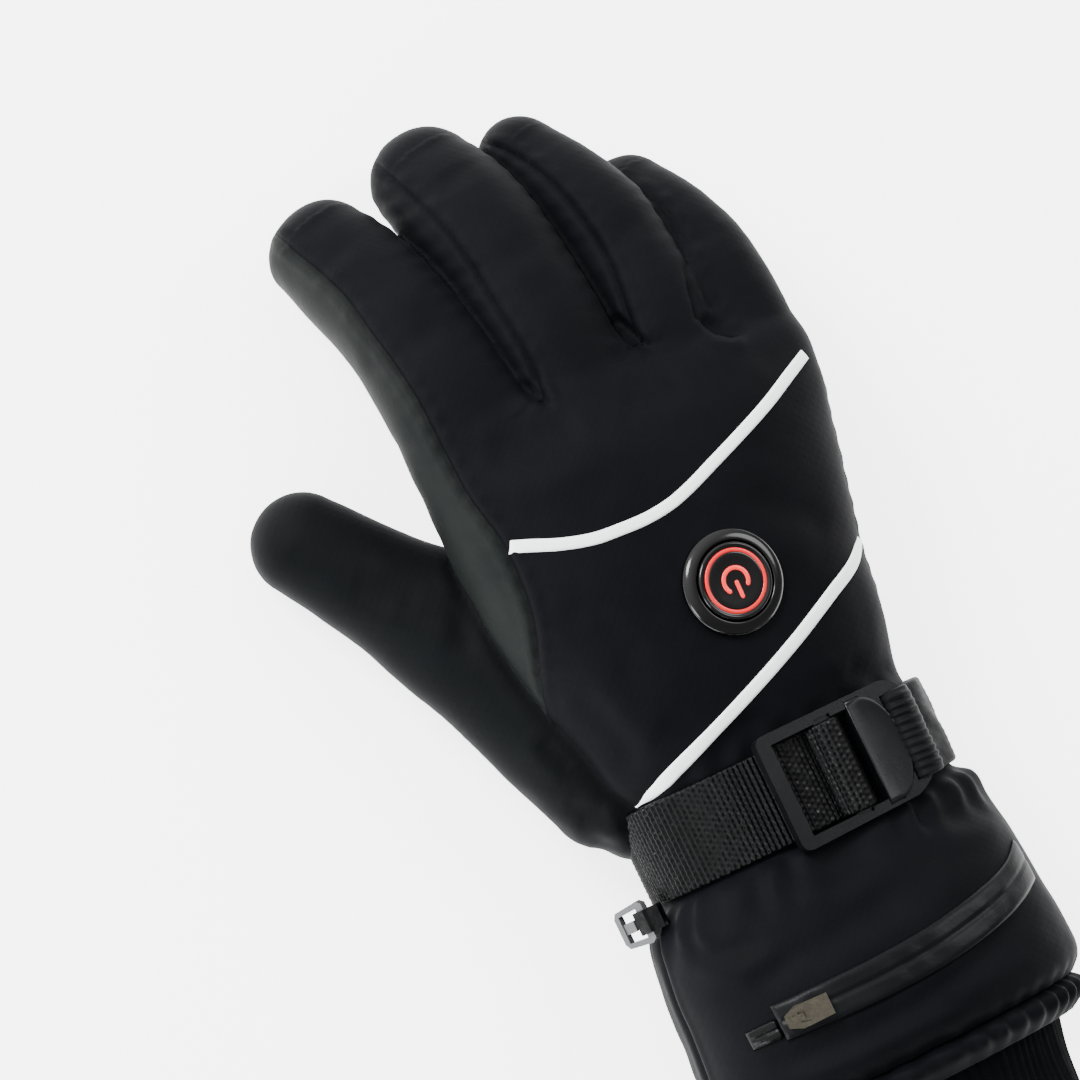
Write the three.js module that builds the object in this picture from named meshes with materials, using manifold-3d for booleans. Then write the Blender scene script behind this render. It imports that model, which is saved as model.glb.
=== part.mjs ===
// Heated winter glove for the right hand, lying palm down on its fingertips, thumb and cuff.
// Millimetres. X runs across the hand (thumb at -X), Y towards the fingertips, Z up from the ground.
import * as THREE from "three";
import { mergeVertices } from "three/addons/utils/BufferGeometryUtils.js";
import Module from "manifold-3d";

const wasm = await Module();
wasm.setup();

// Sizes shared by several pieces
const gap = 0.3;
const wall = 3.2;
const cuff_wall = 2.6;
const lining_wall = 1.6;
const ring_points = 24;
const finger_points = 12;
const tip_steps = 4;
const wrist_joint_y = -2;
const strap_low_z = 25.4;
const webbing_end_angle = 192;
const anchor_end_angle = -30;
const glove_mid_y = 48.7;
const glove_mid_x = -22.6;

// The hand from the wrist joint to the roots of the fingers: rings across the hand.
// turn is how far a ring's plane is turned so that its ulnar side lies nearer the wrist.
const hand_columns = ["y", "mid_x", "low_z", "top_z", "half_width", "square", "turn"];
const hand_rows = [
  [-2, -0.3, 9.5, 58.5, 43.4, 2.5, 0],
  [12, -1.6, 9.3, 59.2, 43.6, 2.5, 0],
  [18, -3.0, 8.8, 61.2, 45.0, 2.4, 0],
  [31, -3.4, 8.5, 65.2, 48.0, 2.3, 0],
  [51, -4.6, 10.0, 69.4, 51.4, 2.3, 0],
  [66, -4.2, 12.0, 71.2, 53.8, 2.3, 0],
  [81, -3.1, 14.0, 72.0, 55.6, 2.3, 0],
  [97, -1.9, 16.5, 71.0, 57.5, 2.3, -0.04],
  [108, -1.2, 20.0, 68.0, 57.6, 2.3, -0.07],
  [117, -0.8, 25.0, 63.5, 54.6, 2.4, -0.1],
  [123, -0.6, 32.0, 57.0, 48.0, 2.4, -0.12],
];

// Fingers: rings square to a path that bends down to the ground
const finger_columns = ["x", "y", "z", "half_width", "half_height"];
const index_rows = [
  [-37.5, 95, 45.0, 15.0, 14.5],
  [-39.2, 112, 46.0, 17.5, 15.0],
  [-40.8, 127, 45.5, 19.0, 15.0],
  [-42.0, 143, 41.5, 18.6, 15.0],
  [-43.6, 160, 34.0, 17.9, 14.8],
  [-46.0, 175, 25.4, 16.6, 14.2],
  [-48.8, 186, 18.2, 14.6, 13.4],
];
const middle_rows = [
  [-9.0, 95, 47.0, 14.0, 14.5],
  [-9.5, 112, 48.5, 16.0, 15.0],
  [-10.0, 127, 48.0, 17.2, 15.2],
  [-10.4, 144, 44.8, 17.2, 15.2],
  [-10.6, 163, 37.6, 17.3, 15.0],
  [-11.8, 179, 29.0, 17.0, 14.6],
  [-13.6, 191, 20.6, 15.2, 13.8],
];
const ring_rows = [
  [18.4, 95, 46.0, 12.0, 14.0],
  [19.4, 110, 47.0, 14.2, 14.4],
  [20.2, 126, 46.0, 15.0, 14.4],
  [21.0, 142, 42.6, 14.8, 14.2],
  [20.8, 157, 36.4, 14.5, 14.0],
  [18.4, 172, 28.2, 13.6, 13.4],
  [14.6, 184, 19.6, 12.2, 12.6],
];
const little_rows = [
  [38.0, 86, 42.0, 11.0, 13.0],
  [40.4, 103, 43.8, 13.8, 13.8],
  [41.8, 119, 42.6, 15.0, 14.0],
  [42.4, 135, 38.4, 14.6, 13.8],
  [40.6, 150, 30.4, 13.8, 13.4],
  [36.8, 163, 20.8, 12.4, 12.6],
];
const thumb_rows = [
  [-27.0, 5, 26.0, 18.0, 15.0],
  [-32.5, 18, 26.0, 24.8, 17.0],
  [-40.8, 37, 26.0, 26.0, 18.0],
  [-51.4, 60, 24.0, 24.6, 17.2],
  [-62.6, 77, 21.4, 21.0, 16.0],
  [-72.0, 91, 19.2, 17.4, 15.0],
  [-81.6, 105, 17.0, 15.2, 14.0],
  [-88.2, 114.6, 15.4, 14.4, 13.4],
];
const tip_length = { index: 11.5, middle: 14.5, ring: 13.5, little: 12.0, thumb: 13.6 };
const finger_tables = { index: index_rows, middle: middle_rows, ring: ring_rows, little: little_rows };

// The seam between the back panel and the palm side, as a height over the ground
const seam_columns = ["y", "z"];
const seam_rows = [
  [-20, 34], [24, 35], [44, 37.5], [54, 43.5], [64, 51], [76, 57], [84, 59], [97, 60], [112, 59.5],
  [127, 58], [143, 55], [161, 47.5], [176, 39.5], [188, 31], [198, 25], [222, 12],
];
const seam_station_columns = ["x", "shift_y", "drop_z"];
const seam_stations = [
  [-80, 9, 0], [-46, 9, 0], [-28, 6, 0], [-10, 0, 0], [6, 4, 0], [22, 9, 0], [32, 20, 9],
  [39, 29, 10], [70, 30, 12],
];

// The cuff, from the wrist joint back to the gather, and the sleeve of lining behind it
const cuff_columns = ["y", "mid_x", "low_z", "top_z", "half_width", "square"];
const cuff_rows = [
  [-2, -0.3, 9.5, 58.5, 43.4, 2.5],
  [-15.5, -0.4, 8.0, 59.5, 44.4, 2.5],
  [-19, -0.6, 5.5, 62.5, 48.4, 2.4],
  [-26, -1.8, 1.5, 65.0, 51.0, 2.4],
  [-38, -2.0, -2.0, 68.0, 53.2, 2.4],
  [-53, -1.8, -3.0, 70.0, 54.2, 2.4],
  [-68, -1.8, -3.0, 70.6, 55.4, 2.4],
  [-76, -1.8, -2.0, 69.4, 54.4, 2.4],
  [-79.5, -1.8, 1.5, 66.0, 51.0, 2.4],
];
const hem_rows = [
  [-79.8, -1.8, 1.6, 65.6, 50.8, 2.3],
  [-82, -1.8, 0.6, 67.4, 52.0, 2.3],
  [-85.5, -1.8, 1.0, 66.4, 51.0, 2.3],
  [-88.5, -1.8, 3.6, 62.6, 48.4, 2.3],
];
const lining_rows = [
  [-67.5, -1.8, 3.0, 67.4, 52.1, 2.4],
  [-71, -1.7, 6.0, 61.0, 46.8, 2.35],
  [-76, -1.6, 8.0, 58.0, 44.2, 2.3],
  [-86, -1.6, 8.0, 57.0, 43.4, 2.3],
  [-98, -1.6, 8.6, 55.0, 41.4, 2.3],
  [-108, -1.6, 8.4, 54.4, 41.0, 2.3],
];
const seam_prism_top = 140;
const seam_prism_bottom = -60;
const hem_puckers = 26;
const hem_pucker_depth = 0.8;

// Straps and hardware
const webbing_width = 26;
const webbing_thick = 1.7;
const chord_sag = 0.2;
const buckle_length = 46;
const buckle_width = 33;
const buckle_thick = 3.4;
const buckle_lean = 5;
const buckle_at = [8.6, -2, 62.6];
const anchor_width = 25;
const anchor_thick = 2.0;
const anchor_ripple = 0.55;
const piping_thick = 0.9;
const piping_lift = 0.35;
const button_at = [-0.2, 54.7];
const button_lean_x = 3;
const button_lean_y = 4;
const bezel_radius = 14;
const cap_radius = 10.6;
const cup_wall = 0.9;
const ring_radius = 8.6;
const glow_width = 1.3;
const symbol_radius = 4.0;
const symbol_stroke = 1.3;
const glow_thick = 0.7;

// Colours
const colours = {
  softshell: 0x202124, palm: 0x1c1d1f, reflective: 0xeef2f4, webbing: 0x141516, plastic: 0x18191b,
  gloss: 0x0a0a0c, glow: 0xff3b30, nickel: 0xc9c6bd, lining: 0x101112, coated: 0x26272b, clip: 0x6d7072,
};

// Readers of the tables
const record = (columns, row) => Object.fromEntries(columns.map((name, i) => [name, row[i]]));
const mix = (a, b, t) => a + (b - a) * t;
const radians = THREE.MathUtils.degToRad;

function readTable(columns, rows, key, value) {
  const ordered = rows.map((row) => record(columns, row)).sort((p, q) => p[key] - q[key]);
  let i = 0;
  while (i < ordered.length - 2 && value > ordered[i + 1][key]) i += 1;
  const low = ordered[i];
  const high = ordered[i + 1];
  const t = THREE.MathUtils.clamp((value - low[key]) / (high[key] - low[key]), 0, 1);
  return Object.fromEntries(columns.map((name) => [name, mix(low[name], high[name], t)]));
}

function superPower(value, power) {
  return Math.sign(value) * Math.abs(value) ** (2 / power);
}

// Solids from rings of points
function toManifold(geometry) {
  const bare = geometry.index ? geometry.toNonIndexed() : geometry.clone();
  bare.deleteAttribute("normal");
  bare.deleteAttribute("uv");
  const merged = mergeVertices(bare, 1e-4);
  const mesh = new wasm.Mesh({
    numProp: 3,
    vertProperties: new Float32Array(merged.attributes.position.array),
    triVerts: new Uint32Array(merged.index.array),
  });
  return new wasm.Manifold(mesh);
}

function toGeometry(solid) {
  const mesh = solid.getMesh();
  const geometry = new THREE.BufferGeometry();
  const positions = new Float32Array(mesh.numVert * 3);
  for (let i = 0; i < mesh.numVert; i += 1) {
    for (let k = 0; k < 3; k += 1) positions[i * 3 + k] = mesh.vertProperties[i * mesh.numProp + k];
  }
  geometry.setAttribute("position", new THREE.BufferAttribute(positions, 3));
  geometry.setIndex(Array.from(mesh.triVerts));
  return geometry;
}

function ringsToGeometry(rings) {
  const count = rings[0].length;
  const positions = rings.flat().flatMap((p) => [p.x, p.y, p.z]);
  const index = [];
  for (let r = 0; r < rings.length - 1; r += 1) {
    for (let k = 0; k < count; k += 1) {
      const a = r * count + k;
      const b = r * count + ((k + 1) % count);
      index.push(a, b, b + count, a, b + count, a + count);
    }
  }
  for (const end of [0, rings.length - 1]) {
    const middle = rings[end].reduce((sum, p) => sum.add(p), new THREE.Vector3()).divideScalar(count);
    const centre = positions.length / 3;
    positions.push(middle.x, middle.y, middle.z);
    for (let k = 0; k < count; k += 1) {
      const a = end * count + k;
      const b = end * count + ((k + 1) % count);
      if (end === 0) index.push(centre, b, a);
      else index.push(centre, a, b);
    }
  }
  const geometry = new THREE.BufferGeometry();
  geometry.setAttribute("position", new THREE.Float32BufferAttribute(positions, 3));
  geometry.setIndex(index);
  return geometry;
}

// Rings may run either way along Y, so a solid that comes out inside out is turned
function solidOf(rings) {
  const geometry = ringsToGeometry(rings);
  const volume = signedVolume(geometry);
  if (volume < 0) {
    const index = geometry.index.array;
    for (let i = 0; i < index.length; i += 3) [index[i], index[i + 1]] = [index[i + 1], index[i]];
  }
  return toManifold(geometry);
}

function signedVolume(geometry) {
  const position = geometry.attributes.position;
  const index = geometry.index.array;
  const [a, b, c] = [new THREE.Vector3(), new THREE.Vector3(), new THREE.Vector3()];
  let volume = 0;
  for (let i = 0; i < index.length; i += 3) {
    a.fromBufferAttribute(position, index[i]);
    b.fromBufferAttribute(position, index[i + 1]);
    c.fromBufferAttribute(position, index[i + 2]);
    volume += a.dot(b.cross(c)) / 6;
  }
  return volume;
}

// A ring across the hand or cuff; nothing soft goes below the ground
function acrossRing(row, grow, count = ring_points, ripple = 0, waves = 0) {
  const half_height = (row.top_z - row.low_z) / 2 + grow;
  const mid_z = (row.top_z + row.low_z) / 2;
  const turn = row.turn ?? 0;
  return Array.from({ length: count }, (_, k) => {
    const angle = (k / count) * Math.PI * 2;
    const wave = 1 + (ripple / row.half_width) * Math.cos(waves * angle);
    const x = (row.half_width + grow) * superPower(Math.cos(angle), row.square) * wave;
    const z = mid_z + half_height * superPower(Math.sin(angle), row.square) * wave;
    return new THREE.Vector3(row.mid_x + x, row.y + turn * x, Math.max(z, -grow));
  });
}

// Rings square to a finger's path, closed by a round tip
function fingerRings(rows, length, grow) {
  const places = rows.map((row) => record(finger_columns, row));
  const path = places.map((p) => new THREE.Vector3(p.x, p.y, p.z));
  const rings = [];
  const last = places.length - 1;
  const ringAt = (centre, along, half_width, half_height) => {
    const side = new THREE.Vector3().crossVectors(along, new THREE.Vector3(0, 0, 1)).normalize();
    const up = new THREE.Vector3().crossVectors(side, along).normalize();
    return Array.from({ length: finger_points }, (_, k) => {
      const angle = (k / finger_points) * Math.PI * 2;
      const point = centre.clone();
      point.addScaledVector(side, half_width * superPower(Math.cos(angle), 2.2));
      point.addScaledVector(up, half_height * superPower(Math.sin(angle), 2.2));
      point.z = Math.max(point.z, -grow);
      return point;
    });
  };
  for (let i = 0; i <= last; i += 1) {
    const along = path[Math.min(i + 1, last)].clone().sub(path[Math.max(i - 1, 0)]).normalize();
    rings.push(ringAt(path[i], along, places[i].half_width + grow, places[i].half_height + grow));
  }
  const end = path[last].clone().sub(path[last - 1]).normalize();
  end.z *= 0.55;
  end.normalize();
  for (let i = 1; i <= tip_steps; i += 1) {
    const angle = (i / tip_steps) * (Math.PI / 2) * 0.93;
    const centre = path[last].clone().addScaledVector(end, (length + grow) * Math.sin(angle));
    const shrink = Math.cos(angle);
    const half_width = (places[last].half_width + grow) * shrink;
    const half_height = (places[last].half_height + grow) * shrink;
    rings.push(ringAt(centre, end, half_width, half_height));
  }
  return rings;
}

function handSolid(grow) {
  const rows = hand_rows.map((row) => record(hand_columns, row));
  let solid = solidOf(rows.map((row) => acrossRing(row, grow)));
  for (const [name, table] of Object.entries(finger_tables)) {
    solid = solid.add(solidOf(fingerRings(table, tip_length[name], grow)));
  }
  return solid;
}

function sleeveSolid(columns, table, grow, past = [0, 0], count = ring_points, ripple = 0, waves = 0) {
  const rows = table.map((row) => record(columns, row));
  const rings = rows.map((row) => acrossRing(row, grow, count, ripple, waves));
  rings[0].forEach((p) => { p.y += past[0]; });
  rings[rings.length - 1].forEach((p) => { p.y -= past[1]; });
  return solidOf(rings);
}

// A box between two corners, for cutting
function boxSolid(from, to) {
  const size = [0, 1, 2].map((k) => to[k] - from[k]);
  const geometry = new THREE.BoxGeometry(...size);
  geometry.translate(...[0, 1, 2].map((k) => (from[k] + to[k]) / 2));
  return toManifold(geometry);
}

// A prism under (or over) the seam surface, cut back by half the gap
function seamPrism(over) {
  const shift_z = over ? gap / 2 : -gap / 2;
  const far_z = over ? seam_prism_top : seam_prism_bottom;
  const stations = seam_stations.map((row) => record(seam_station_columns, row));
  const rows = seam_rows.map((row) => record(seam_columns, row));
  const height = (station, y) => {
    return readTable(seam_columns, seam_rows, "y", y + station.shift_y).z - station.drop_z;
  };
  const rings = stations.map((station) => {
    const near = rows.map((row) => new THREE.Vector3(station.x, row.y, height(station, row.y) + shift_z));
    const ends = [rows[rows.length - 1].y, rows[0].y];
    return near.concat(ends.map((y) => new THREE.Vector3(station.x, y, far_z)));
  });
  return stripSolid(rings);
}

// A solid whose sections are outlines of many points, with flat triangulated ends
function stripSolid(rings) {
  const count = rings[0].length;
  const positions = rings.flat().flatMap((p) => [p.x, p.y, p.z]);
  const index = [];
  for (let r = 0; r < rings.length - 1; r += 1) {
    for (let k = 0; k < count; k += 1) {
      const a = r * count + k;
      const b = r * count + ((k + 1) % count);
      index.push(a, b, b + count, a, b + count, a + count);
    }
  }
  for (const end of [0, rings.length - 1]) {
    const ring = rings[end];
    const normal = new THREE.Vector3();
    ring.forEach((p, i) => normal.add(new THREE.Vector3().crossVectors(p, ring[(i + 1) % count])));
    normal.normalize();
    const axis = Math.abs(normal.x) < 0.8 ? new THREE.Vector3(1, 0, 0) : new THREE.Vector3(0, 1, 0);
    const u = new THREE.Vector3().crossVectors(normal, axis).normalize();
    const v = new THREE.Vector3().crossVectors(normal, u);
    const flat = ring.map((p) => new THREE.Vector2(p.dot(u), p.dot(v)));
    for (const [a, b, c] of THREE.ShapeUtils.triangulateShape(flat, [])) {
      const face = [a, b, c].map((k) => end * count + k);
      index.push(...(end === 0 ? [face[0], face[2], face[1]] : face));
    }
  }
  const geometry = new THREE.BufferGeometry();
  geometry.setAttribute("position", new THREE.Float32BufferAttribute(positions, 3));
  geometry.setIndex(index);
  if (signedVolume(geometry) < 0) {
    const list = geometry.index.array;
    for (let i = 0; i < list.length; i += 3) [list[i], list[i + 1]] = [list[i + 1], list[i]];
  }
  return toManifold(geometry);
}

// Soft shells
const thumb_outer = solidOf(fingerRings(thumb_rows, tip_length.thumb, 0));
const thumb_inner = solidOf(fingerRings(thumb_rows, tip_length.thumb, -wall));
const hand_outer = handSolid(0);
const wrist_mouth = boxSolid([-60, wrist_joint_y - 5, 0], [60, wrist_joint_y + gap / 2, 80]);
const hand_inner_rows = [[wrist_joint_y - 1, ...hand_rows[0].slice(1)], ...hand_rows.slice(1)];

function handInner() {
  const rows = hand_inner_rows.map((row) => record(hand_columns, row));
  let solid = solidOf(rows.map((row) => acrossRing(row, -wall)));
  for (const [name, table] of Object.entries(finger_tables)) {
    solid = solid.add(solidOf(fingerRings(table, tip_length[name], -wall)));
  }
  return solid;
}

function handShell() {
  return hand_outer.subtract(handInner()).subtract(thumb_inner).subtract(wrist_mouth);
}

function thumbShell() {
  const strap_top_y = wrist_joint_y + webbing_width / 2;
  const strap_room = boxSolid([-80, -40, strap_low_z - 2 * gap], [0, strap_top_y + gap, 90]);
  const behind_wrist = boxSolid([-80, -60, -20], [0, wrist_joint_y + gap / 2, 90]);
  const shell_room = handSolid(gap);
  return thumb_outer.subtract(thumb_inner).subtract(shell_room).subtract(strap_room).subtract(behind_wrist);
}

// Frame of a point on the back of the hand, for the button
function backHeight(x, y) {
  const row = readTable(hand_columns, hand_rows, "y", y);
  const half_height = (row.top_z - row.low_z) / 2;
  const share = Math.min(1, Math.abs((x - row.mid_x) / row.half_width));
  return (row.top_z + row.low_z) / 2 + half_height * (1 - share ** row.square) ** (1 / row.square);
}

function cuffHeight(x, y) {
  const row = readTable(cuff_columns, cuff_rows, "y", y);
  const half_height = (row.top_z - row.low_z) / 2;
  const share = Math.min(1, Math.abs((x - row.mid_x) / row.half_width));
  return (row.top_z + row.low_z) / 2 + half_height * (1 - share ** row.square) ** (1 / row.square);
}

const button_frame = new THREE.Matrix4().compose(
  new THREE.Vector3(button_at[0], button_at[1], backHeight(...button_at)),
  new THREE.Quaternion().setFromEuler(new THREE.Euler(radians(button_lean_y), radians(button_lean_x), 0)),
  new THREE.Vector3(1, 1, 1),
);

// A body of revolution about the button's axis, from a closed outline of radius and height
function turned(outline, segments = 26) {
  const points = outline.concat([outline[0]]).map(([r, z]) => new THREE.Vector2(r, z));
  const geometry = new THREE.LatheGeometry(points, segments);
  geometry.rotateX(Math.PI / 2);
  if (signedVolume(mergeVertices(stripped(geometry), 1e-4)) < 0) flip(geometry);
  return toManifold(geometry);
}

function stripped(geometry) {
  const bare = geometry.clone();
  bare.deleteAttribute("normal");
  bare.deleteAttribute("uv");
  return bare;
}

function flip(geometry) {
  const index = geometry.index.array;
  for (let i = 0; i < index.length; i += 3) [index[i], index[i + 1]] = [index[i + 1], index[i]];
}

// An outline drawn in a plane and given thickness upwards
function plate(shape, low, high, segments = 10) {
  const options = { depth: high - low, bevelEnabled: false, curveSegments: segments };
  const geometry = new THREE.ExtrudeGeometry(shape, options);
  geometry.translate(0, 0, low);
  return toManifold(geometry);
}

function moved(solid, matrix) {
  const geometry = toGeometry(solid);
  geometry.applyMatrix4(matrix);
  return toManifold(geometry);
}

// The switch: a cup with a flange, a sprung cap, and light guides set in the cap
const cup_radius = cap_radius + gap + cup_wall;
const cup_floor = -4.6;
const flange_low = -1.3;

function bezelSolid() {
  const inner = cap_radius + gap;
  return turned([
    [0, cup_floor], [cup_radius, cup_floor], [cup_radius, flange_low], [bezel_radius, flange_low],
    [bezel_radius, 0.7], [bezel_radius - 0.6, 1.5], [bezel_radius - 1.6, 2.0], [inner + 0.4, 1.9],
    [inner, 1.5], [inner, cup_floor + 0.9], [0, cup_floor + 0.9],
  ]);
}

function bezelPocket() {
  return turned([
    [0, cup_floor - 2], [cup_radius + gap, cup_floor - 2], [cup_radius + gap, flange_low - gap],
    [bezel_radius + gap, flange_low - gap], [bezel_radius + gap, 8], [0, 8],
  ]);
}

const cap_top = 2.3;
function capBlank() {
  return turned([
    [0, -2.5], [cap_radius, -2.5], [cap_radius, 1.5], [cap_radius - 0.5, 1.9], [7, cap_top], [0, cap_top],
  ]);
}

function glowRing(grow) {
  const inner = ring_radius - glow_width / 2 - grow;
  const outer = ring_radius + glow_width / 2 + grow;
  const low = cap_top - glow_thick - grow;
  const high = grow > 0 ? cap_top + 1 : cap_top - 0.05;
  return turned([[inner, low], [outer, low], [outer, high - 0.25], [inner, high]]);
}

function glowSymbol(grow) {
  const shape = new THREE.Shape();
  const open = radians(38);
  const start = -Math.PI / 2 + open;
  const end = -Math.PI / 2 - open + Math.PI * 2;
  const inner = symbol_radius - symbol_stroke / 2 - grow;
  const outer = symbol_radius + symbol_stroke / 2 + grow;
  shape.absarc(0, 0, outer, start, end, false);
  shape.absarc(0, 0, inner, end, start, true);
  const low = cap_top - glow_thick - grow;
  const high = grow > 0 ? cap_top + 1 : cap_top;
  return plate(shape, low, high, 18);
}

function glowBar(grow) {
  const half = symbol_stroke / 2 + grow;
  const shape = new THREE.Shape();
  shape.moveTo(-half, -4.6 - grow);
  shape.lineTo(half, -4.6 - grow);
  shape.lineTo(half, 0.2 + grow);
  shape.lineTo(-half, 0.2 + grow);
  const low = cap_top - glow_thick - grow;
  const high = grow > 0 ? cap_top + 1 : cap_top;
  return plate(shape, low, high);
}

function capSolid() {
  return capBlank().subtract(glowRing(gap)).subtract(glowSymbol(gap)).subtract(glowBar(gap));
}

// Reflective piping laid on the back, from a table of its middle line
const piping_columns = ["x", "y", "width"];
const upper_piping = [
  [-51.2, 88.9, 3.6], [-46.2, 86.8, 3.4], [-37.9, 83.0, 3.3], [-29.4, 80.5, 3.3], [-22.3, 79.8, 3.3],
  [-16.2, 79.5, 3.3], [-7.4, 80.3, 3.3], [-1.7, 81.8, 3.3], [9.0, 85.6, 3.3], [20.0, 89.6, 3.3],
  [31.4, 94.0, 3.3], [41.0, 98.2, 3.3], [50.2, 102.0, 3.2],
];
const lower_piping = [
  [-41.4, 12.8, 2.4], [-38.2, 13.6, 3.6], [-32.2, 16.4, 4.0], [-18.6, 21.8, 3.6], [-4.4, 27.4, 3.6],
  [10.4, 33.6, 3.6], [26.0, 40.8, 3.6], [36.2, 45.2, 3.6], [40.0, 47.6, 3.4], [42.8, 49.9, 2.8],
];

// Rows of a table with more rows put between them, so that a strip follows a rounded surface
function finer(columns, table, steps) {
  const rows = table.map((row) => record(columns, row));
  const between = (a, b, t) => Object.fromEntries(columns.map((name) => [name, mix(a[name], b[name], t)]));
  const more = rows.slice(0, -1).flatMap((row, i) => {
    return Array.from({ length: steps }, (_, k) => between(row, rows[i + 1], k / steps));
  });
  return more.concat([rows[rows.length - 1]]);
}

function pipingSolid(table) {
  const rows = finer(piping_columns, table, 2);
  const rings = rows.map((row, i) => {
    const before = rows[Math.max(i - 1, 0)];
    const after = rows[Math.min(i + 1, rows.length - 1)];
    const along = new THREE.Vector2(after.x - before.x, after.y - before.y).normalize();
    const across = [-1, -0.33, 0.33, 1].map((s) => [
      row.x - (along.y * s * row.width) / 2,
      row.y + (along.x * s * row.width) / 2,
    ]);
    const lift = (x, y, up) => {
      const normal = backNormal(x, y);
      return new THREE.Vector3(x, y, backHeight(x, y)).addScaledVector(normal, up);
    };
    const under = across.map(([x, y]) => lift(x, y, piping_lift));
    const over = across.map(([x, y], k) => lift(x, y, piping_lift + piping_thick * (k % 3 === 0 ? 0.6 : 1)));
    return under.concat(over.reverse());
  });
  return stripSolid(rings);
}

function backNormal(x, y) {
  const step = 0.4;
  const dx = (backHeight(x + step, y) - backHeight(x - step, y)) / (2 * step);
  const dy = (backHeight(x, y + step) - backHeight(x, y - step)) / (2 * step);
  return new THREE.Vector3(-dx, -dy, 1).normalize();
}

// The line round the wrist that the straps follow, as an angle from +X towards the top
function wristPoint(angle, out) {
  const row = readTable(cuff_columns, cuff_rows, "y", -15);
  const half_height = (row.top_z - row.low_z) / 2;
  const mid_z = (row.top_z + row.low_z) / 2;
  const x = superPower(Math.cos(angle), row.square);
  const z = superPower(Math.sin(angle), row.square);
  return new THREE.Vector2(row.mid_x + (row.half_width + out) * x, mid_z + (half_height + out) * z);
}

// A band with an even thickness along a line in the XZ plane
function bandSolid(line, thick, mid_y, width, ripple = () => 0, steps = 1) {
  const sides = line.map((p, i) => {
    const before = line[Math.max(i - 1, 0)];
    const after = line[Math.min(i + 1, line.length - 1)];
    const along = after.clone().sub(before).normalize();
    const normal = new THREE.Vector2(-along.y, along.x);
    return { inside: p.clone().addScaledVector(normal, -thick / 2), normal, point: p };
  });
  const rings = Array.from({ length: steps + 1 }, (_, s) => {
    const y = mid_y - width / 2 + (width * s) / steps;
    const under = sides.map((side) => new THREE.Vector3(side.inside.x, y, side.inside.y));
    const over = sides.map((side, i) => {
      const outside = side.point.clone().addScaledVector(side.normal, thick / 2 + ripple(i, s / steps));
      return new THREE.Vector3(outside.x, y, outside.y);
    });
    return under.concat(over.reverse());
  });
  return stripSolid(rings);
}

// The buckle's own frame: x along the strap, y across it, z out of the wrist
const buckle_frame = new THREE.Matrix4().compose(
  new THREE.Vector3(...buckle_at),
  new THREE.Quaternion().setFromEuler(new THREE.Euler(0, radians(buckle_lean), 0)),
  new THREE.Vector3(1, 1, 1),
);
const bar_left = 4.2;
const bar_side = 3.2;
const window_left = -buckle_length / 2 + bar_left;
const centre_bar = { from: -4.6, to: 0.4 };
const window_right = 5.4;
const end_slot = { from: 15.6, to: 19.2 };

function buckleSolid() {
  const half = buckle_length / 2;
  const wide = buckle_width / 2;
  const shape = new THREE.Shape();
  shape.moveTo(-half + 3.4, -wide);
  shape.lineTo(half - 9, -wide + 0.6);
  shape.quadraticCurveTo(half - 1, -wide + 3, half - 0.4, -wide + 9);
  shape.lineTo(half, wide - 7);
  shape.quadraticCurveTo(half - 0.6, wide - 1, half - 6, wide - 0.2);
  shape.lineTo(-half + 3, wide);
  shape.quadraticCurveTo(-half, wide, -half, wide - 3);
  shape.lineTo(-half, -wide + 3);
  shape.quadraticCurveTo(-half, -wide, -half + 3, -wide);
  const opening = wide - bar_side;
  let blank = plate(shape, 0, buckle_thick, 6);
  for (const [from, to] of [[window_left, centre_bar.from], [centre_bar.to, window_right]]) {
    blank = blank.subtract(boxSolid([from, -opening, -1], [to, opening, 9]));
  }
  blank = blank.subtract(boxSolid([end_slot.from, 1 - opening, -1], [end_slot.to, opening - 1, 9]));
  const step = new THREE.Shape();
  step.moveTo(window_right, -wide + 1.4);
  step.lineTo(10, -wide + 1.4);
  step.quadraticCurveTo(17, -10, 17.4, 0);
  step.quadraticCurveTo(17, 10, 10, wide - 1.4);
  step.lineTo(window_right, wide - 1.4);
  const thinner = plate(step, buckle_thick - 0.7, buckle_thick + 2, 6);
  const bar = boxSolid([centre_bar.from, -opening - 1, buckle_thick - 0.9], [centre_bar.to, opening + 1, 9]);
  return moved(blank.subtract(thinner).subtract(bar), buckle_frame);
}

function bucklePoint(x, z) {
  const p = new THREE.Vector3(x, 0, z).applyMatrix4(buckle_frame);
  return new THREE.Vector2(p.x, p.z);
}

// Webbing: from the side seam round the thumb edge, under the end bar and over the centre bar
function webbingSolid() {
  const out = gap + chord_sag + webbing_thick / 2;
  const half = webbing_thick / 2;
  const steps = 12;
  const round = Array.from({ length: steps + 1 }, (_, i) => {
    return wristPoint(radians(mix(webbing_end_angle, 111, i / steps)), out);
  });
  const over_bar = buckle_thick - 0.9 + gap + half;
  const under = -0.5 - half;
  const through = [
    bucklePoint(window_left + 2, under), bucklePoint(centre_bar.from - 2.6, under + 0.2),
    bucklePoint(centre_bar.from - gap - half - 0.25, 0.8), bucklePoint(centre_bar.from - 0.8, over_bar - 0.25),
    bucklePoint(centre_bar.from + 1.0, over_bar + 0.15), bucklePoint(centre_bar.to - 1.0, over_bar + 0.15),
    bucklePoint(centre_bar.to + 0.8, over_bar - 0.25), bucklePoint(centre_bar.to + gap + half + 0.25, 0.8),
    bucklePoint(centre_bar.to + 2.8, under + 0.1), bucklePoint(centre_bar.to + 5, under), bucklePoint(12, under),
  ];
  return bandSolid(round.concat(through).reverse(), webbing_thick, wrist_joint_y, webbing_width);
}

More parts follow.
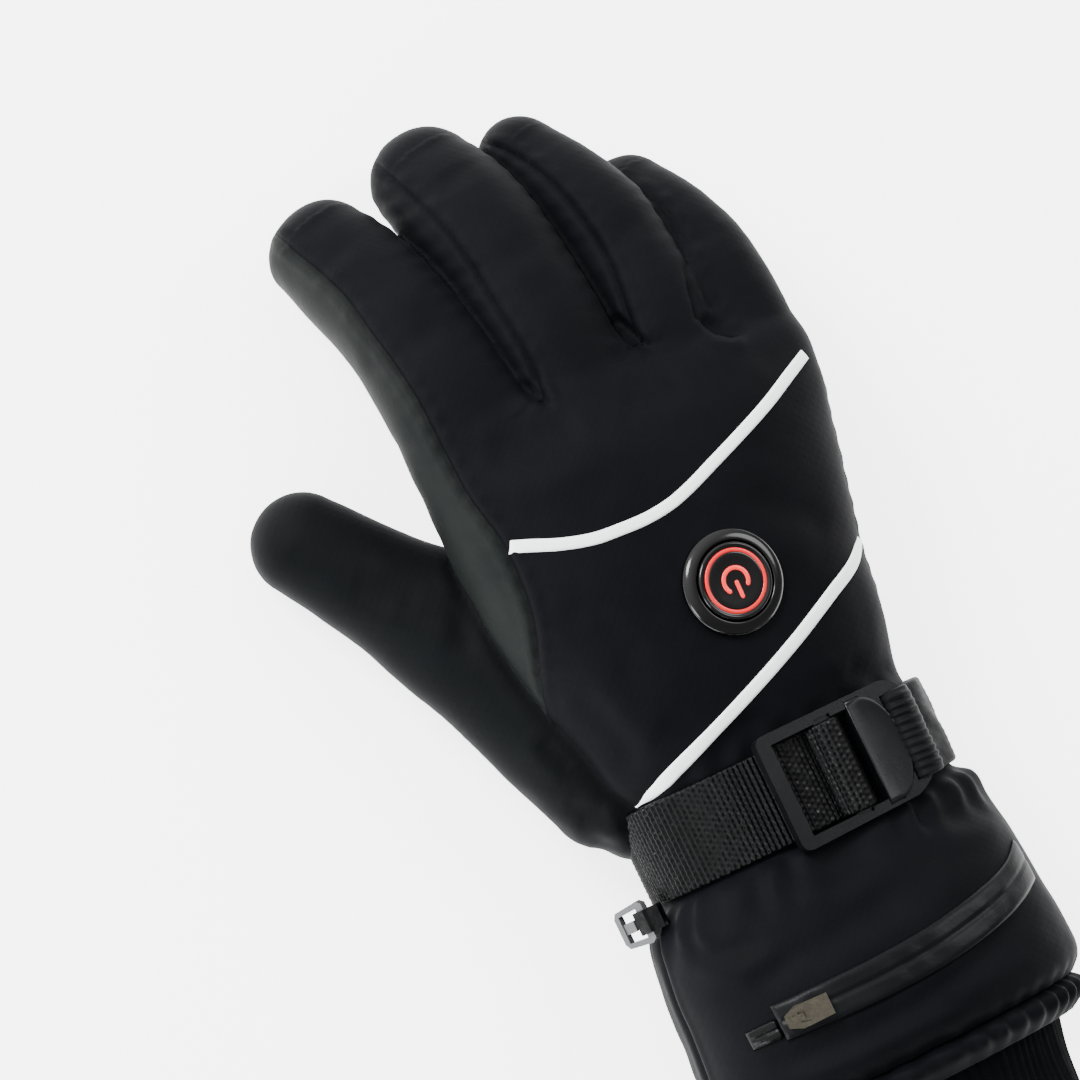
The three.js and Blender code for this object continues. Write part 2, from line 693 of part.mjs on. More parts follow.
// Gathered elastic from the buckle's end slot round the ulnar edge to the side seam
function anchorSolid() {
  const out = gap + chord_sag + anchor_thick / 2;
  const steps = 26;
  const round = Array.from({ length: steps + 1 }, (_, i) => {
    return wristPoint(radians(mix(43, anchor_end_angle, i / steps)), out);
  });
  const middle = (end_slot.from + end_slot.to) / 2;
  const through = [
    bucklePoint(end_slot.to + 3.2, buckle_thick + 1.1), bucklePoint(middle + 1.1, buckle_thick + 0.9),
    bucklePoint(middle + 0.3, buckle_thick - 0.6), bucklePoint(middle, 0.3),
    bucklePoint(middle + 0.2, -1.2), bucklePoint(end_slot.to + 1.6, -1.9),
  ];
  const line = through.slice(4).concat(round);
  const ripple = (i) => (i > 2 && i % 2 ? anchor_ripple : 0);
  const under = bandSolid(line, anchor_thick, wrist_joint_y, anchor_width, ripple);
  return under;
}

// Small frame clip on a fabric loop at the thumb edge of the cuff
const clip_at = [-54.6, -16.9, 36.6];
const clip_frame = new THREE.Matrix4().compose(
  new THREE.Vector3(...clip_at),
  new THREE.Quaternion().setFromEuler(new THREE.Euler(0, radians(-52), 0)),
  new THREE.Vector3(1, 1, 1),
);

function clipSolid() {
  const outer = new THREE.Shape();
  outer.moveTo(-4.6, -5.2);
  outer.lineTo(3.2, -6);
  outer.lineTo(4.6, -5);
  outer.lineTo(4.6, 5);
  outer.lineTo(3.2, 6);
  outer.lineTo(-4.6, 5.2);
  outer.lineTo(-5.6, 3.6);
  outer.lineTo(-5.6, -3.6);
  const hole = new THREE.Path();
  hole.moveTo(-4, -3.8);
  hole.lineTo(-4, 3.8);
  hole.lineTo(2.2, 4.2);
  hole.lineTo(2.2, -4.2);
  outer.holes.push(hole);
  const frame = plate(outer, 0, 2.2);
  const tongue = boxSolid([-4.2, -1.5, 0.3], [-0.4, 1.5, 1.7]);
  return moved(frame.add(tongue), clip_frame);
}

// A flat ring of cloth that goes through the clip's frame and lies against the cuff
function clipLoopSolid() {
  const line = [
    [8.5, -0.6], [4.9, -1.1], [1.4, -1.2], [0.9, 0.4], [0.9, 1.8], [1.6, 3.1], [4.9, 3.2], [5.6, 2.4], [8.5, 1.2],
  ].map(([x, z]) => new THREE.Vector2(x, z));
  const band = bandSolid(line, 0.7, 0, 6.4);
  return moved(band, clip_frame);
}

// The zipped pocket on the cuff: a coated band, its end tab, the slider and its pull
const zip_columns = ["x", "near_y", "far_y"];
const zip_rows = [
  [-39.8, -60.6, -50.4], [-22, -61.6, -50.5], [-6.8, -61.9, -50.4], [10, -61.0, -49.4], [22, -59.3, -47.8],
  [32, -57.2, -46.0], [38.6, -55.1, -44.0], [45.4, -52.3, -40.4],
];
const zip_tab_rows = [[-47.6, -59.3, -54.3], [-40.4, -59.5, -54.0]];
const zip_thick = 1.2;

function zipBand(table, up, thick) {
  const rows = finer(zip_columns, table, 2);
  const rings = rows.map((row) => {
    const across = [0, 0.5, 1].map((s) => mix(row.near_y, row.far_y, s));
    const place = (y, lift) => {
      const step = 0.4;
      const slope = (cuffHeight(row.x + step, y) - cuffHeight(row.x - step, y)) / (2 * step);
      const normal = new THREE.Vector3(-slope, 0, 1).normalize();
      return new THREE.Vector3(row.x, y, cuffHeight(row.x, y)).addScaledVector(normal, lift);
    };
    const under = across.map((y) => place(y, up));
    const over = across.map((y, k) => place(y, up + thick * (k === 1 ? 1 : 0.8)));
    return under.concat(over.reverse());
  });
  return stripSolid(rings);
}

const slider_at = [-34.0, -56.1];
const slider_reach = 5;
const slider_slope = (cuffHeight(slider_at[0] + slider_reach, slider_at[1])
  - cuffHeight(slider_at[0] - slider_reach, slider_at[1])) / (2 * slider_reach);
const slider_lift = gap + zip_thick + gap + 0.3;
const slider_frame = new THREE.Matrix4().compose(
  new THREE.Vector3(slider_at[0], slider_at[1], cuffHeight(...slider_at) + slider_lift),
  new THREE.Quaternion().setFromEuler(new THREE.Euler(0, -Math.atan(slider_slope), 0)),
  new THREE.Vector3(1, 1, 1),
);

function sliderSolid() {
  const shape = new THREE.Shape();
  shape.moveTo(-4.6, -1.8);
  shape.quadraticCurveTo(-4.9, 0, -4.6, 1.8);
  shape.lineTo(-1, 3.3);
  shape.lineTo(4.8, 3.0);
  shape.lineTo(4.8, -3.0);
  shape.lineTo(-1, -3.3);
  const body = plate(shape, 0, 1.3, 5);
  const post_left = boxSolid([-3.6, -0.9, 1], [-2.5, 0.9, 4]);
  const post_right = boxSolid([-0.5, -0.9, 1], [0.6, 0.9, 4]);
  const roof = boxSolid([-3.6, -0.9, 3.1], [0.6, 0.9, 4]);
  return moved(body.add(post_left).add(post_right).add(roof), slider_frame);
}

function pullSolid() {
  const shape = new THREE.Shape();
  shape.moveTo(-2.1, -2.6);
  shape.lineTo(0.6, -3.2);
  shape.lineTo(8.2, -3.0);
  shape.lineTo(8.2, 3.0);
  shape.lineTo(0.6, 3.2);
  shape.lineTo(-2.1, 2.6);
  const hole = new THREE.Path();
  hole.moveTo(-0.9, -1.5);
  hole.lineTo(-0.9, 1.5);
  hole.lineTo(1.8, 2.1);
  hole.lineTo(4.0, 0);
  hole.lineTo(1.8, -2.1);
  shape.holes.push(hole);
  return moved(plate(shape, 1.65, 2.7), slider_frame);
}

// Assembly
const glove = new THREE.Group();
glove.name = "heated_glove";

function add(name, solid, colour, rough = 0.8, metal = 0) {
  const geometry = toGeometry(solid);
  geometry.translate(-glove_mid_x, -glove_mid_y, 0);
  const look = new THREE.MeshStandardMaterial({ color: colours[colour], roughness: rough, metalness: metal });
  const mesh = new THREE.Mesh(geometry, look);
  mesh.name = name;
  glove.add(mesh);
}

const shell = handShell();
const pocket = moved(bezelPocket(), button_frame);
add("back_shell", shell.intersect(seamPrism(true)).subtract(pocket), "softshell");
add("palm_shell", shell.intersect(seamPrism(false)), "palm");
add("thumb_shell", thumbShell(), "softshell");

const cuff_outer = sleeveSolid(cuff_columns, cuff_rows, 0, [-gap / 2, 0]);
const cuff_inner = sleeveSolid(cuff_columns, cuff_rows, -cuff_wall, [5, 5]);
add("cuff_shell", cuff_outer.subtract(cuff_inner), "softshell");

const hem_outer = sleeveSolid(cuff_columns, hem_rows, 0, [0, 0], hem_puckers * 2, hem_pucker_depth, hem_puckers);
const hem_inner = sleeveSolid(cuff_columns, hem_rows, -cuff_wall, [5, 5]);
add("cuff_hem", hem_outer.subtract(hem_inner), "softshell");

const lining_outer = sleeveSolid(cuff_columns, lining_rows, 0);
const lining_inner = sleeveSolid(cuff_columns, lining_rows, -lining_wall, [5, 5]);
add("inner_cuff", lining_outer.subtract(lining_inner), "lining");

add("piping_upper", pipingSolid(upper_piping), "reflective", 0.35);
add("piping_lower", pipingSolid(lower_piping), "reflective", 0.35);
add("button_bezel", moved(bezelSolid(), button_frame), "gloss", 0.15);
add("button_cap", moved(capSolid(), button_frame), "gloss", 0.3);
add("glow_ring", moved(glowRing(0), button_frame), "glow", 0.4);
add("glow_symbol", moved(glowSymbol(0), button_frame), "glow", 0.4);
add("glow_bar", moved(glowBar(0), button_frame), "glow", 0.4);
add("wrist_strap", webbingSolid(), "webbing");
add("strap_buckle", buckleSolid(), "plastic", 0.4);
add("strap_anchor", anchorSolid(), "webbing");
add("hook_clip", clipSolid(), "clip", 0.4);
add("clip_loop", clipLoopSolid(), "webbing");
add("zip_welt", zipBand(zip_rows, gap, zip_thick), "coated", 0.4);
add("zip_end_tab", zipBand(zip_tab_rows, gap, 0.9), "webbing");
add("zip_slider", sliderSolid(), "nickel", 0.3, 1);
add("zip_pull", pullSolid(), "nickel", 0.3, 1);

export default glove;
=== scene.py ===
import math

import bpy
import numpy as np
from mathutils import Matrix, Vector
from mathutils.bvhtree import BVHTree


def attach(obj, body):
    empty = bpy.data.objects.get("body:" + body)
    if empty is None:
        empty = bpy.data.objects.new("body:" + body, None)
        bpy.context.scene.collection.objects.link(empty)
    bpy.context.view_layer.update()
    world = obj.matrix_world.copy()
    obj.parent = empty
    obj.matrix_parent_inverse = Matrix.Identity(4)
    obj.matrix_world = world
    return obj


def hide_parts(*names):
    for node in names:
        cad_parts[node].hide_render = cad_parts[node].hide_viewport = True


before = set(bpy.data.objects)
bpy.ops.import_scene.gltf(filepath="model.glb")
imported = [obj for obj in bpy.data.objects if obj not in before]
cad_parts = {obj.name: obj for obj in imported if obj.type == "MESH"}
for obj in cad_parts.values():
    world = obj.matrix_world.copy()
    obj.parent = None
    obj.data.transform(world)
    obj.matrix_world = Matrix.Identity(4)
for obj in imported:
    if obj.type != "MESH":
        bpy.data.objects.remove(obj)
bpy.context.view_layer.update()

# Tables and sizes are in millimetres about the wrist strap; this shift leads to the frame
FRAME_SHIFT = np.array([22.6, -48.7, 0.0])
MM = 0.001

WRIST_Y = -2.0
WALL = 3.2
CUFF_WALL = 2.6
LINING_WALL = 1.6
# Grid steps of the hand's outside and inside, how far fingers melt together, and the longest settling move
CELL = 1.0
INNER_CELL = 2.4
FINGER_BLEND = 3.0
LONGEST_MOVE = 0.8

# Sections, paths and lines, each row as its columns say
HAND_ROWS = [
    # y, mid_x, low_z, top_z, half_width, square, turn
    (-8, -0.3, 9.5, 58.5, 43.4, 2.5, 0), (-2, -0.3, 9.5, 58.5, 43.4, 2.5, 0),
    (12, -1.6, 9.3, 59.2, 43.6, 2.5, 0), (18, -3.0, 8.8, 61.2, 45.0, 2.4, 0),
    (31, -3.4, 8.5, 65.2, 48.0, 2.3, 0), (51, -4.6, 10.0, 69.4, 51.4, 2.3, 0),
    (66, -4.2, 12.0, 71.2, 53.8, 2.3, 0), (81, -3.1, 14.0, 72.0, 55.6, 2.3, 0),
    (97, -1.9, 16.5, 71.0, 57.5, 2.3, -0.04), (108, -1.2, 20.0, 68.0, 57.6, 2.3, -0.07),
    (117, -0.8, 25.0, 63.5, 54.6, 2.4, -0.10), (123, -0.6, 32.0, 57.0, 48.0, 2.4, -0.12),
]
FINGERS = {
    # x, y, z, half_width, half_height, from the root to the last ring
    "index": [(-37.5, 95, 45.0, 15.0, 14.5), (-39.2, 112, 46.0, 17.5, 15.0), (-40.8, 127, 45.5, 18.8, 15.0),
              (-41.8, 143, 41.5, 18.0, 15.0), (-43.2, 160, 34.0, 17.2, 14.8), (-46.0, 175, 25.4, 16.4, 14.2),
              (-48.8, 186, 18.2, 14.6, 13.4)],
    "middle": [(-9.0, 95, 47.0, 14.0, 14.5), (-9.5, 112, 48.5, 16.0, 15.0), (-10.0, 127, 48.0, 17.2, 15.2),
               (-10.4, 144, 44.8, 17.2, 15.2), (-10.6, 163, 37.6, 17.3, 15.0), (-11.8, 179, 29.0, 17.0, 14.6),
               (-13.6, 191, 20.6, 15.2, 13.8)],
    "ring": [(18.4, 95, 46.0, 12.0, 14.0), (19.4, 110, 47.0, 14.2, 14.4), (20.2, 126, 46.0, 15.0, 14.4),
             (21.0, 142, 42.6, 14.8, 14.2), (20.8, 157, 36.4, 14.5, 14.0), (18.4, 172, 28.2, 13.6, 13.4),
             (14.6, 184, 19.6, 12.2, 12.6)],
    "little": [(38.0, 86, 42.0, 11.0, 13.0), (40.4, 103, 43.8, 13.8, 13.8), (41.8, 119, 42.6, 15.0, 14.0),
               (42.4, 135, 38.4, 14.6, 13.8), (40.6, 150, 30.4, 13.8, 13.4), (36.8, 163, 20.8, 12.4, 12.6)],
    "thumb": [(-27.0, 5, 26.0, 18.0, 15.0), (-32.5, 18, 26.0, 24.8, 17.0), (-40.8, 37, 26.0, 25.6, 18.0),
              (-51.4, 60, 24.0, 23.8, 17.2), (-62.6, 77, 21.4, 20.4, 16.0), (-72.0, 91, 19.2, 17.0, 15.0),
              (-81.6, 105, 17.0, 15.0, 14.0), (-88.2, 114.6, 15.4, 14.2, 13.4)],
}
TIP_LENGTH = {"index": 11.5, "middle": 14.5, "ring": 13.5, "little": 12.0, "thumb": 13.6}
TIP_SQUARE = 2.2
SEAM_ROWS = [
    # y, height of the seam on the thumb side
    (-20, 34), (24, 35), (44, 37.5), (54, 43.5), (64, 51), (76, 56), (84, 57.5), (97, 58), (112, 57.5),
    (127, 56), (143, 51), (161, 42), (176, 31), (188, 19), (198, 10), (222, 0),
]
SEAM_STATIONS = [
    # x, how far ahead the seam's row is read, how much lower the seam runs
    (-80, 9, 0), (-46, 9, 0), (-28, 6, 0), (-10, 0, 0), (6, 4, 0), (22, 9, 0), (32, 20, 9), (39, 29, 10),
    (70, 30, 12),
]
# Where the back panel's seams show along the thumb side of each finger, as a and b on the picture plane
SEAM_LINES = {
    "index": [(-62, 200), (-59.5, 192), (-49.7, 168), (-46.5, 150), (-44.4, 138), (-43, 106), (-40, 87.1),
              (-40.7, 74.3), (-42.1, 67.1), (-46.4, 54.3), (-48.6, 44.3), (-50.3, 34.3), (-48.6, 25.7),
              (-45.7, 14.3), (-44, 5), (-43, -6)],
    "middle": [(-27.5, 201), (-25.6, 195.6), (-19.4, 180), (-16.9, 171.3), (-15.6, 161.3), (-14.4, 150),
               (-12.8, 130), (-13.4, 119)],
    "ring": [(0, 197), (3.1, 191.5), (6.9, 187.5), (13.8, 175), (17.8, 157.5), (18.5, 147.5), (16.6, 130),
             (15.8, 121)],
    "little": [(28, 174), (33.7, 164.8), (38.4, 155.5), (39.3, 144.2), (38.2, 136), (36, 120)],
}
CUFF_ROWS = [
    # y, mid_x, low_z, top_z, half_width, square
    (-2, -0.3, 9.5, 58.5, 43.4, 2.5), (-15.5, -0.4, 8.0, 59.5, 44.4, 2.5),
    (-19, -0.6, 5.5, 62.5, 48.4, 2.4), (-26, -1.8, 1.5, 65.0, 51.0, 2.4),
    (-38, -2.0, -2.0, 68.0, 53.2, 2.4), (-53, -1.8, -3.0, 70.0, 54.2, 2.4),
    (-68, -1.8, -3.0, 70.6, 55.4, 2.4), (-76, -1.8, -2.0, 69.4, 54.4, 2.4),
    (-79.5, -1.8, 1.5, 66.0, 51.0, 2.4),
]
HEM_ROWS = [
    # y, mid_x, low_z, top_z, half_width, square
    (-79.8, -1.8, 1.6, 65.6, 50.8, 2.3), (-82, -1.8, 0.6, 67.4, 52.0, 2.3),
    (-85.5, -1.8, 1.0, 66.4, 51.0, 2.3), (-88.5, -1.8, 3.6, 62.6, 48.4, 2.3),
]
LINING_ROWS = [
    # y, mid_x, low_z, top_z, half_width, square
    (-67.5, -1.8, 3.0, 67.4, 52.1, 2.4), (-71, -1.7, 6.0, 61.0, 46.8, 2.35),
    (-76, -1.6, 8.0, 58.0, 44.2, 2.3), (-86, -1.6, 8.0, 57.0, 43.4, 2.3),
    (-98, -1.6, 8.6, 55.0, 41.4, 2.3), (-108, -1.6, 8.4, 54.4, 41.0, 2.3),
]
UPPER_PIPING = [
    # x, y, width
    (-49.4, 88.2, 3.4), (-46.2, 86.8, 3.4), (-37.9, 83.0, 3.3), (-29.4, 80.5, 3.3), (-22.3, 79.8, 3.3),
    (-16.2, 79.5, 3.3), (-7.4, 80.3, 3.3), (-1.7, 81.8, 3.3), (9.0, 85.6, 3.3), (20.0, 89.6, 3.3),
    (31.4, 94.0, 3.3), (41.0, 98.2, 3.3), (50.2, 102.0, 3.2),
]
LOWER_PIPING = [
    # x, y, width
    (-43.4, 11.6, 0.5), (-41.2, 12.6, 2.2), (-38.2, 13.8, 3.6), (-32.2, 16.4, 4.0), (-18.6, 21.8, 3.6),
    (-4.4, 27.4, 3.6), (10.4, 33.6, 3.6), (26.0, 40.8, 3.6), (36.2, 45.2, 3.6), (40.0, 47.6, 3.4),
    (43.8, 50.8, 2.6),
]
ZIP_ROWS = [
    # x, y of the lower edge, y of the upper edge
    (-39.8, -60.6, -50.4), (-22, -61.6, -50.5), (-6.8, -61.9, -50.4), (10, -61.0, -49.4),
    (22, -59.3, -47.8), (32, -57.2, -46.0), (38.6, -55.1, -44.0), (45.4, -52.3, -40.4),
]
ZIP_TAB_ROWS = [
    # x, y of the lower edge, y of the upper edge
    (-47.6, -59.3, -54.3), (-40.4, -59.5, -54.0),
]

BUCKLE_WIDTH = 33.0
BUCKLE_THICK = 3.4
BUCKLE_LEAN = 5.0
BUCKLE_AT = (8.6, -2.0, 62.6)
WEBBING_WIDTH = 26.0
WEBBING_THICK = 1.7
WEBBING_OUT = 1.35
RIB_PITCH = 1.5
BLOCK_PITCH = 1.7
ANCHOR_WIDTH = 25.0
ANCHOR_THICK = 2.0
BUTTON_AT = (-0.2, 54.7)
BUTTON_LEAN_X = 3.0
BUTTON_LEAN_Y = 4.0


# Numbers from tables
def smoothstep(low, high, value):
    t = np.clip((value - low) / (high - low), 0, 1)
    return t * t * (3 - 2 * t)


def spline_table(rows, step):
    """Rows of a table with smooth rows put between them along the first column's order."""
    table = np.array(rows, float)
    spans = np.linalg.norm(np.diff(table[:, :3], axis=0), axis=1)
    places = np.concatenate([[0], np.cumsum(spans)])
    wanted = np.linspace(0, places[-1], max(3, int(places[-1] / step) + 1))
    return np.stack([monotone(places, table[:, k], wanted) for k in range(table.shape[1])], 1)


def monotone(x, y, wanted):
    """A smooth curve through points that never swings past them."""
    x = np.asarray(x, float)
    y = np.asarray(y, float)
    slopes = np.diff(y) / np.diff(x)
    tangents = np.concatenate([[slopes[0]], (slopes[:-1] + slopes[1:]) / 2, [slopes[-1]]])
    flat = np.concatenate([[False], slopes[:-1] * slopes[1:] <= 0, [False]])
    tangents[flat] = 0
    i = np.clip(np.searchsorted(x, wanted) - 1, 0, len(x) - 2)
    h = x[i + 1] - x[i]
    t = np.clip((wanted - x[i]) / h, 0, 1)
    return ((2 * t ** 3 - 3 * t ** 2 + 1) * y[i] + (t ** 3 - 2 * t ** 2 + t) * h * tangents[i]
            + (3 * t ** 2 - 2 * t ** 3) * y[i + 1] + (t ** 3 - t ** 2) * h * tangents[i + 1])


def across_table(rows, y):
    """Columns of a table of sections at any y, after the first, smoothly."""
    table = np.array(sorted(rows), float)
    return [monotone(table[:, 0], table[:, k], y) for k in range(1, table.shape[1])]


def smooth_min(a, b, reach):
    h = np.clip(reach - np.abs(a - b), 0, None) / reach
    return np.minimum(a, b) - h * h * reach * 0.25


def super_power(value, power):
    return np.sign(value) * np.abs(value) ** (2 / power)


# The padded hand as a field: negative inside, in millimetres
def section_field(dx, dz, half_x, half_z, power):
    ratio = (np.abs(dx / half_x) ** power + np.abs(dz / half_z) ** power) ** (1 / power)
    return np.hypot(dx, dz) * (1 - 1 / np.maximum(ratio, 1e-4))


def palm_field(x, y, z):
    dx = x - across_table(HAND_ROWS, y)[0]
    turn = across_table(HAND_ROWS, y)[5]
    mid_x, low, top, half, square, _ = across_table(HAND_ROWS, y - turn * dx)
    side = section_field(x - mid_x, z - (low + top) / 2, half, (top - low) / 2, square)
    return np.maximum(side, y - turn * dx - 123)


def finger_field(name, x, y, z):
    path = spline_table(FINGERS[name], 4.0)
    points = np.stack([x, y, z], -1).astype(np.float32)
    tangents = np.gradient(path[:, :3], axis=0)
    tangents /= np.linalg.norm(tangents, axis=1)[:, None]
    end = path[-1, :3] - path[-3, :3]
    end /= np.linalg.norm(end)
    end[2] *= 0.55
    tangents[-1] = end / np.linalg.norm(end)
    best = np.full(len(points), 1e9, np.float32)
    place = np.zeros(len(points), np.float32)
    for i in range(len(path) - 1):
        start, span = path[i, :3], path[i + 1, :3] - path[i, :3]
        t = np.clip((points - start) @ span / (span @ span), 0, 1)
        gap = np.linalg.norm(points - start - t[:, None] * span, axis=1)
        nearer = gap < best
        best[nearer] = gap[nearer]
        place[nearer] = i + t[nearer]
    i = np.minimum(place.astype(int), len(path) - 2)
    t = (place - i)[:, None]
    row = path[i] * (1 - t) + path[i + 1] * t
    along = tangents[i] * (1 - t) + tangents[i + 1] * t
    along /= np.linalg.norm(along, axis=1)[:, None]
    side = np.cross(along, [0, 0, 1.0])
    side /= np.linalg.norm(side, axis=1)[:, None]
    up = np.cross(side, along)
    offset = points - row[:, :3]
    u = np.einsum("ij,ij->i", offset, side)
    w = np.einsum("ij,ij->i", offset, up)
    v = np.einsum("ij,ij->i", offset, along)
    section = (np.abs(u / row[:, 3]) ** TIP_SQUARE + np.abs(w / row[:, 4]) ** TIP_SQUARE) ** (1 / TIP_SQUARE)
    past = np.where(place > len(path) - 1.001, np.maximum(v, 0), 0) / TIP_LENGTH[name]
    ratio = np.sqrt(section ** 2 + past ** 2)
    return np.linalg.norm(offset, axis=1) * (1 - 1 / np.maximum(ratio, 1e-3))


def hand_field(x, y, z):
    shape = x.shape
    x, y, z = x.ravel(), y.ravel(), z.ravel()
    palm = palm_field(x, y, z)
    fingers = np.full(len(x), 60.0)
    thumb = np.full(len(x), 60.0)
    for name, rows in FINGERS.items():
        table = np.array(rows)
        low = table[:, :3].min(0) - 30
        high = table[:, :3].max(0) + 30
        near = (x > low[0]) & (x < high[0]) & (y > low[1]) & (y < high[1]) & (palm > -22)
        value = finger_field(name, x[near], y[near], z[near])
        if name == "thumb":
            thumb[near] = value
        else:
            fingers[near] = smooth_min(fingers[near], value, FINGER_BLEND)
    whole = smooth_min(palm, fingers, 7.0)
    whole = smooth_min(whole, thumb, 3.4)
    ground = 2.0 - z
    whole = -smooth_min(-whole, -(ground - 2.0), 3.0)
    return whole.reshape(shape)


def seam_height(x, y):
    """Height of the seam line between the back panel and the palm side, over any point."""
    rows = np.array(SEAM_ROWS, float)
    heights = [np.interp(y + shift, rows[:, 0], rows[:, 1]) - drop for _, shift, drop in SEAM_STATIONS]
    stations = np.array([row[0] for row in SEAM_STATIONS], float)
    i = np.clip(np.searchsorted(stations, x) - 1, 0, len(stations) - 2)
    t = np.clip((x - stations[i]) / (stations[i + 1] - stations[i]), 0, 1)
    heights = np.stack(heights)
    flat = np.arange(len(x))
    return heights[i, flat] * (1 - t) + heights[i + 1, flat] * t


# Surface from a field: one vertex in each cell that the surface crosses
def grid_surface(field, low, high, cell):
    axes = [np.arange(low[k], high[k] + cell, cell) for k in range(3)]
    shape = tuple(len(a) for a in axes)
    values = np.empty(shape, np.float32)
    for start in range(0, shape[1], 16):
        part = slice(start, start + 16)
        x, y, z = np.meshgrid(axes[0], axes[1][part], axes[2], indexing="ij")
        values[:, part, :] = field(x, y, z)
    inside = values < 0
    corners = [(i, j, k) for i in (0, 1) for j in (0, 1) for k in (0, 1)]
    cut = lambda a, c: a[c[0]:shape[0] - 1 + c[0], c[1]:shape[1] - 1 + c[1], c[2]:shape[2] - 1 + c[2]]
    count = sum(cut(inside, c).astype(np.int8) for c in corners)
    active = (count > 0) & (count < 8)
    cells = np.argwhere(active)
    number = np.full(active.shape, -1, np.int32)
    number[active] = np.arange(len(cells))
    total = np.zeros((len(cells), 3))
    hits = np.zeros(len(cells))
    ci = cells.T
    for a in corners:
        for axis in range(3):
            if a[axis]:
                continue
            b = tuple(a[k] + (k == axis) for k in range(3))
            va = values[ci[0] + a[0], ci[1] + a[1], ci[2] + a[2]]
            vb = values[ci[0] + b[0], ci[1] + b[1], ci[2] + b[2]]
            crossed = (va < 0) != (vb < 0)
            t = np.where(crossed, va / np.where(crossed, va - vb, 1), 0)
            point = np.tile(np.array(a, float), (len(cells), 1))
            point[:, axis] += t
            total[crossed] += point[crossed]
            hits[crossed] += 1
    points = (cells + total / hits[:, None]) * cell + np.array(low)
    quads = []
    for axis in range(3):
        u, v = (axis + 1) % 3, (axis + 2) % 3
        step = [1, 1, 1]
        step[axis] = 0
        here = [slice(None)] * 3
        there = [slice(None)] * 3
        here[axis] = slice(0, shape[axis] - 1)
        there[axis] = slice(1, None)
        crossed = inside[tuple(here)] != inside[tuple(there)]
        crossed = crossed.copy()
        for other in (u, v):
            edge = [slice(None)] * 3
            edge[other] = 0
            crossed[tuple(edge)] = False
            edge[other] = shape[other] - 1
            crossed[tuple(edge)] = False
        spots = np.argwhere(crossed)
        outward = inside[tuple(here)][crossed]
        ring = []
        for du, dv in ((0, 0), (-1, 0), (-1, -1), (0, -1)):
            spot = spots.copy()
            spot[:, u] += du
            spot[:, v] += dv
            ring.append(number[spot[:, 0], spot[:, 1], spot[:, 2]])
        ring = np.stack(ring, 1)
        ring[~outward] = ring[~outward][:, ::-1]
        quads.append(ring)
    return points, np.concatenate(quads)


def settle(points, field, rounds=2):
    """Moves points onto the field's surface; returns them with their normals."""
    step = 0.35
    for _ in range(rounds):
        value = field(*points.T)
        gradient = np.stack([field(*(points + step * unit).T) - field(*(points - step * unit).T)
                             for unit in np.eye(3)], 1) / (2 * step)
        size = np.linalg.norm(gradient, axis=1)[:, None]
        move = np.clip(value[:, None] / np.maximum(size, 0.3), -LONGEST_MOVE, LONGEST_MOVE)
        points = points - move * gradient / np.maximum(size, 1e-6)
    return points, gradient / np.maximum(size, 1e-6)


# Folds, drawn as lines on the picture plane of the hand
VIEW_A = np.array([0.956, 0.0, 0.292])
VIEW_B = np.array([0.0, 0.999, 0.035])
VIEW_SHIFT = np.array([-9.4, -2.1])


def seen_from_above(points):
    return np.stack([points @ VIEW_A + VIEW_SHIFT[0], points @ VIEW_B + VIEW_SHIFT[1]], 1)


def line_distance(flat, line):
    line = np.array(line, float)
    best = np.full(len(flat), 1e9)
    share = np.zeros(len(flat))
    for i in range(len(line) - 1):
        span = line[i + 1] - line[i]
        t = np.clip((flat - line[i]) @ span / (span @ span), 0, 1)
        gap = np.linalg.norm(flat - line[i] - t[:, None] * span, axis=1)
        nearer = gap < best
        best[nearer] = gap[nearer]
        share[nearer] = (i + t[nearer]) / (len(line) - 1)
    return best, share


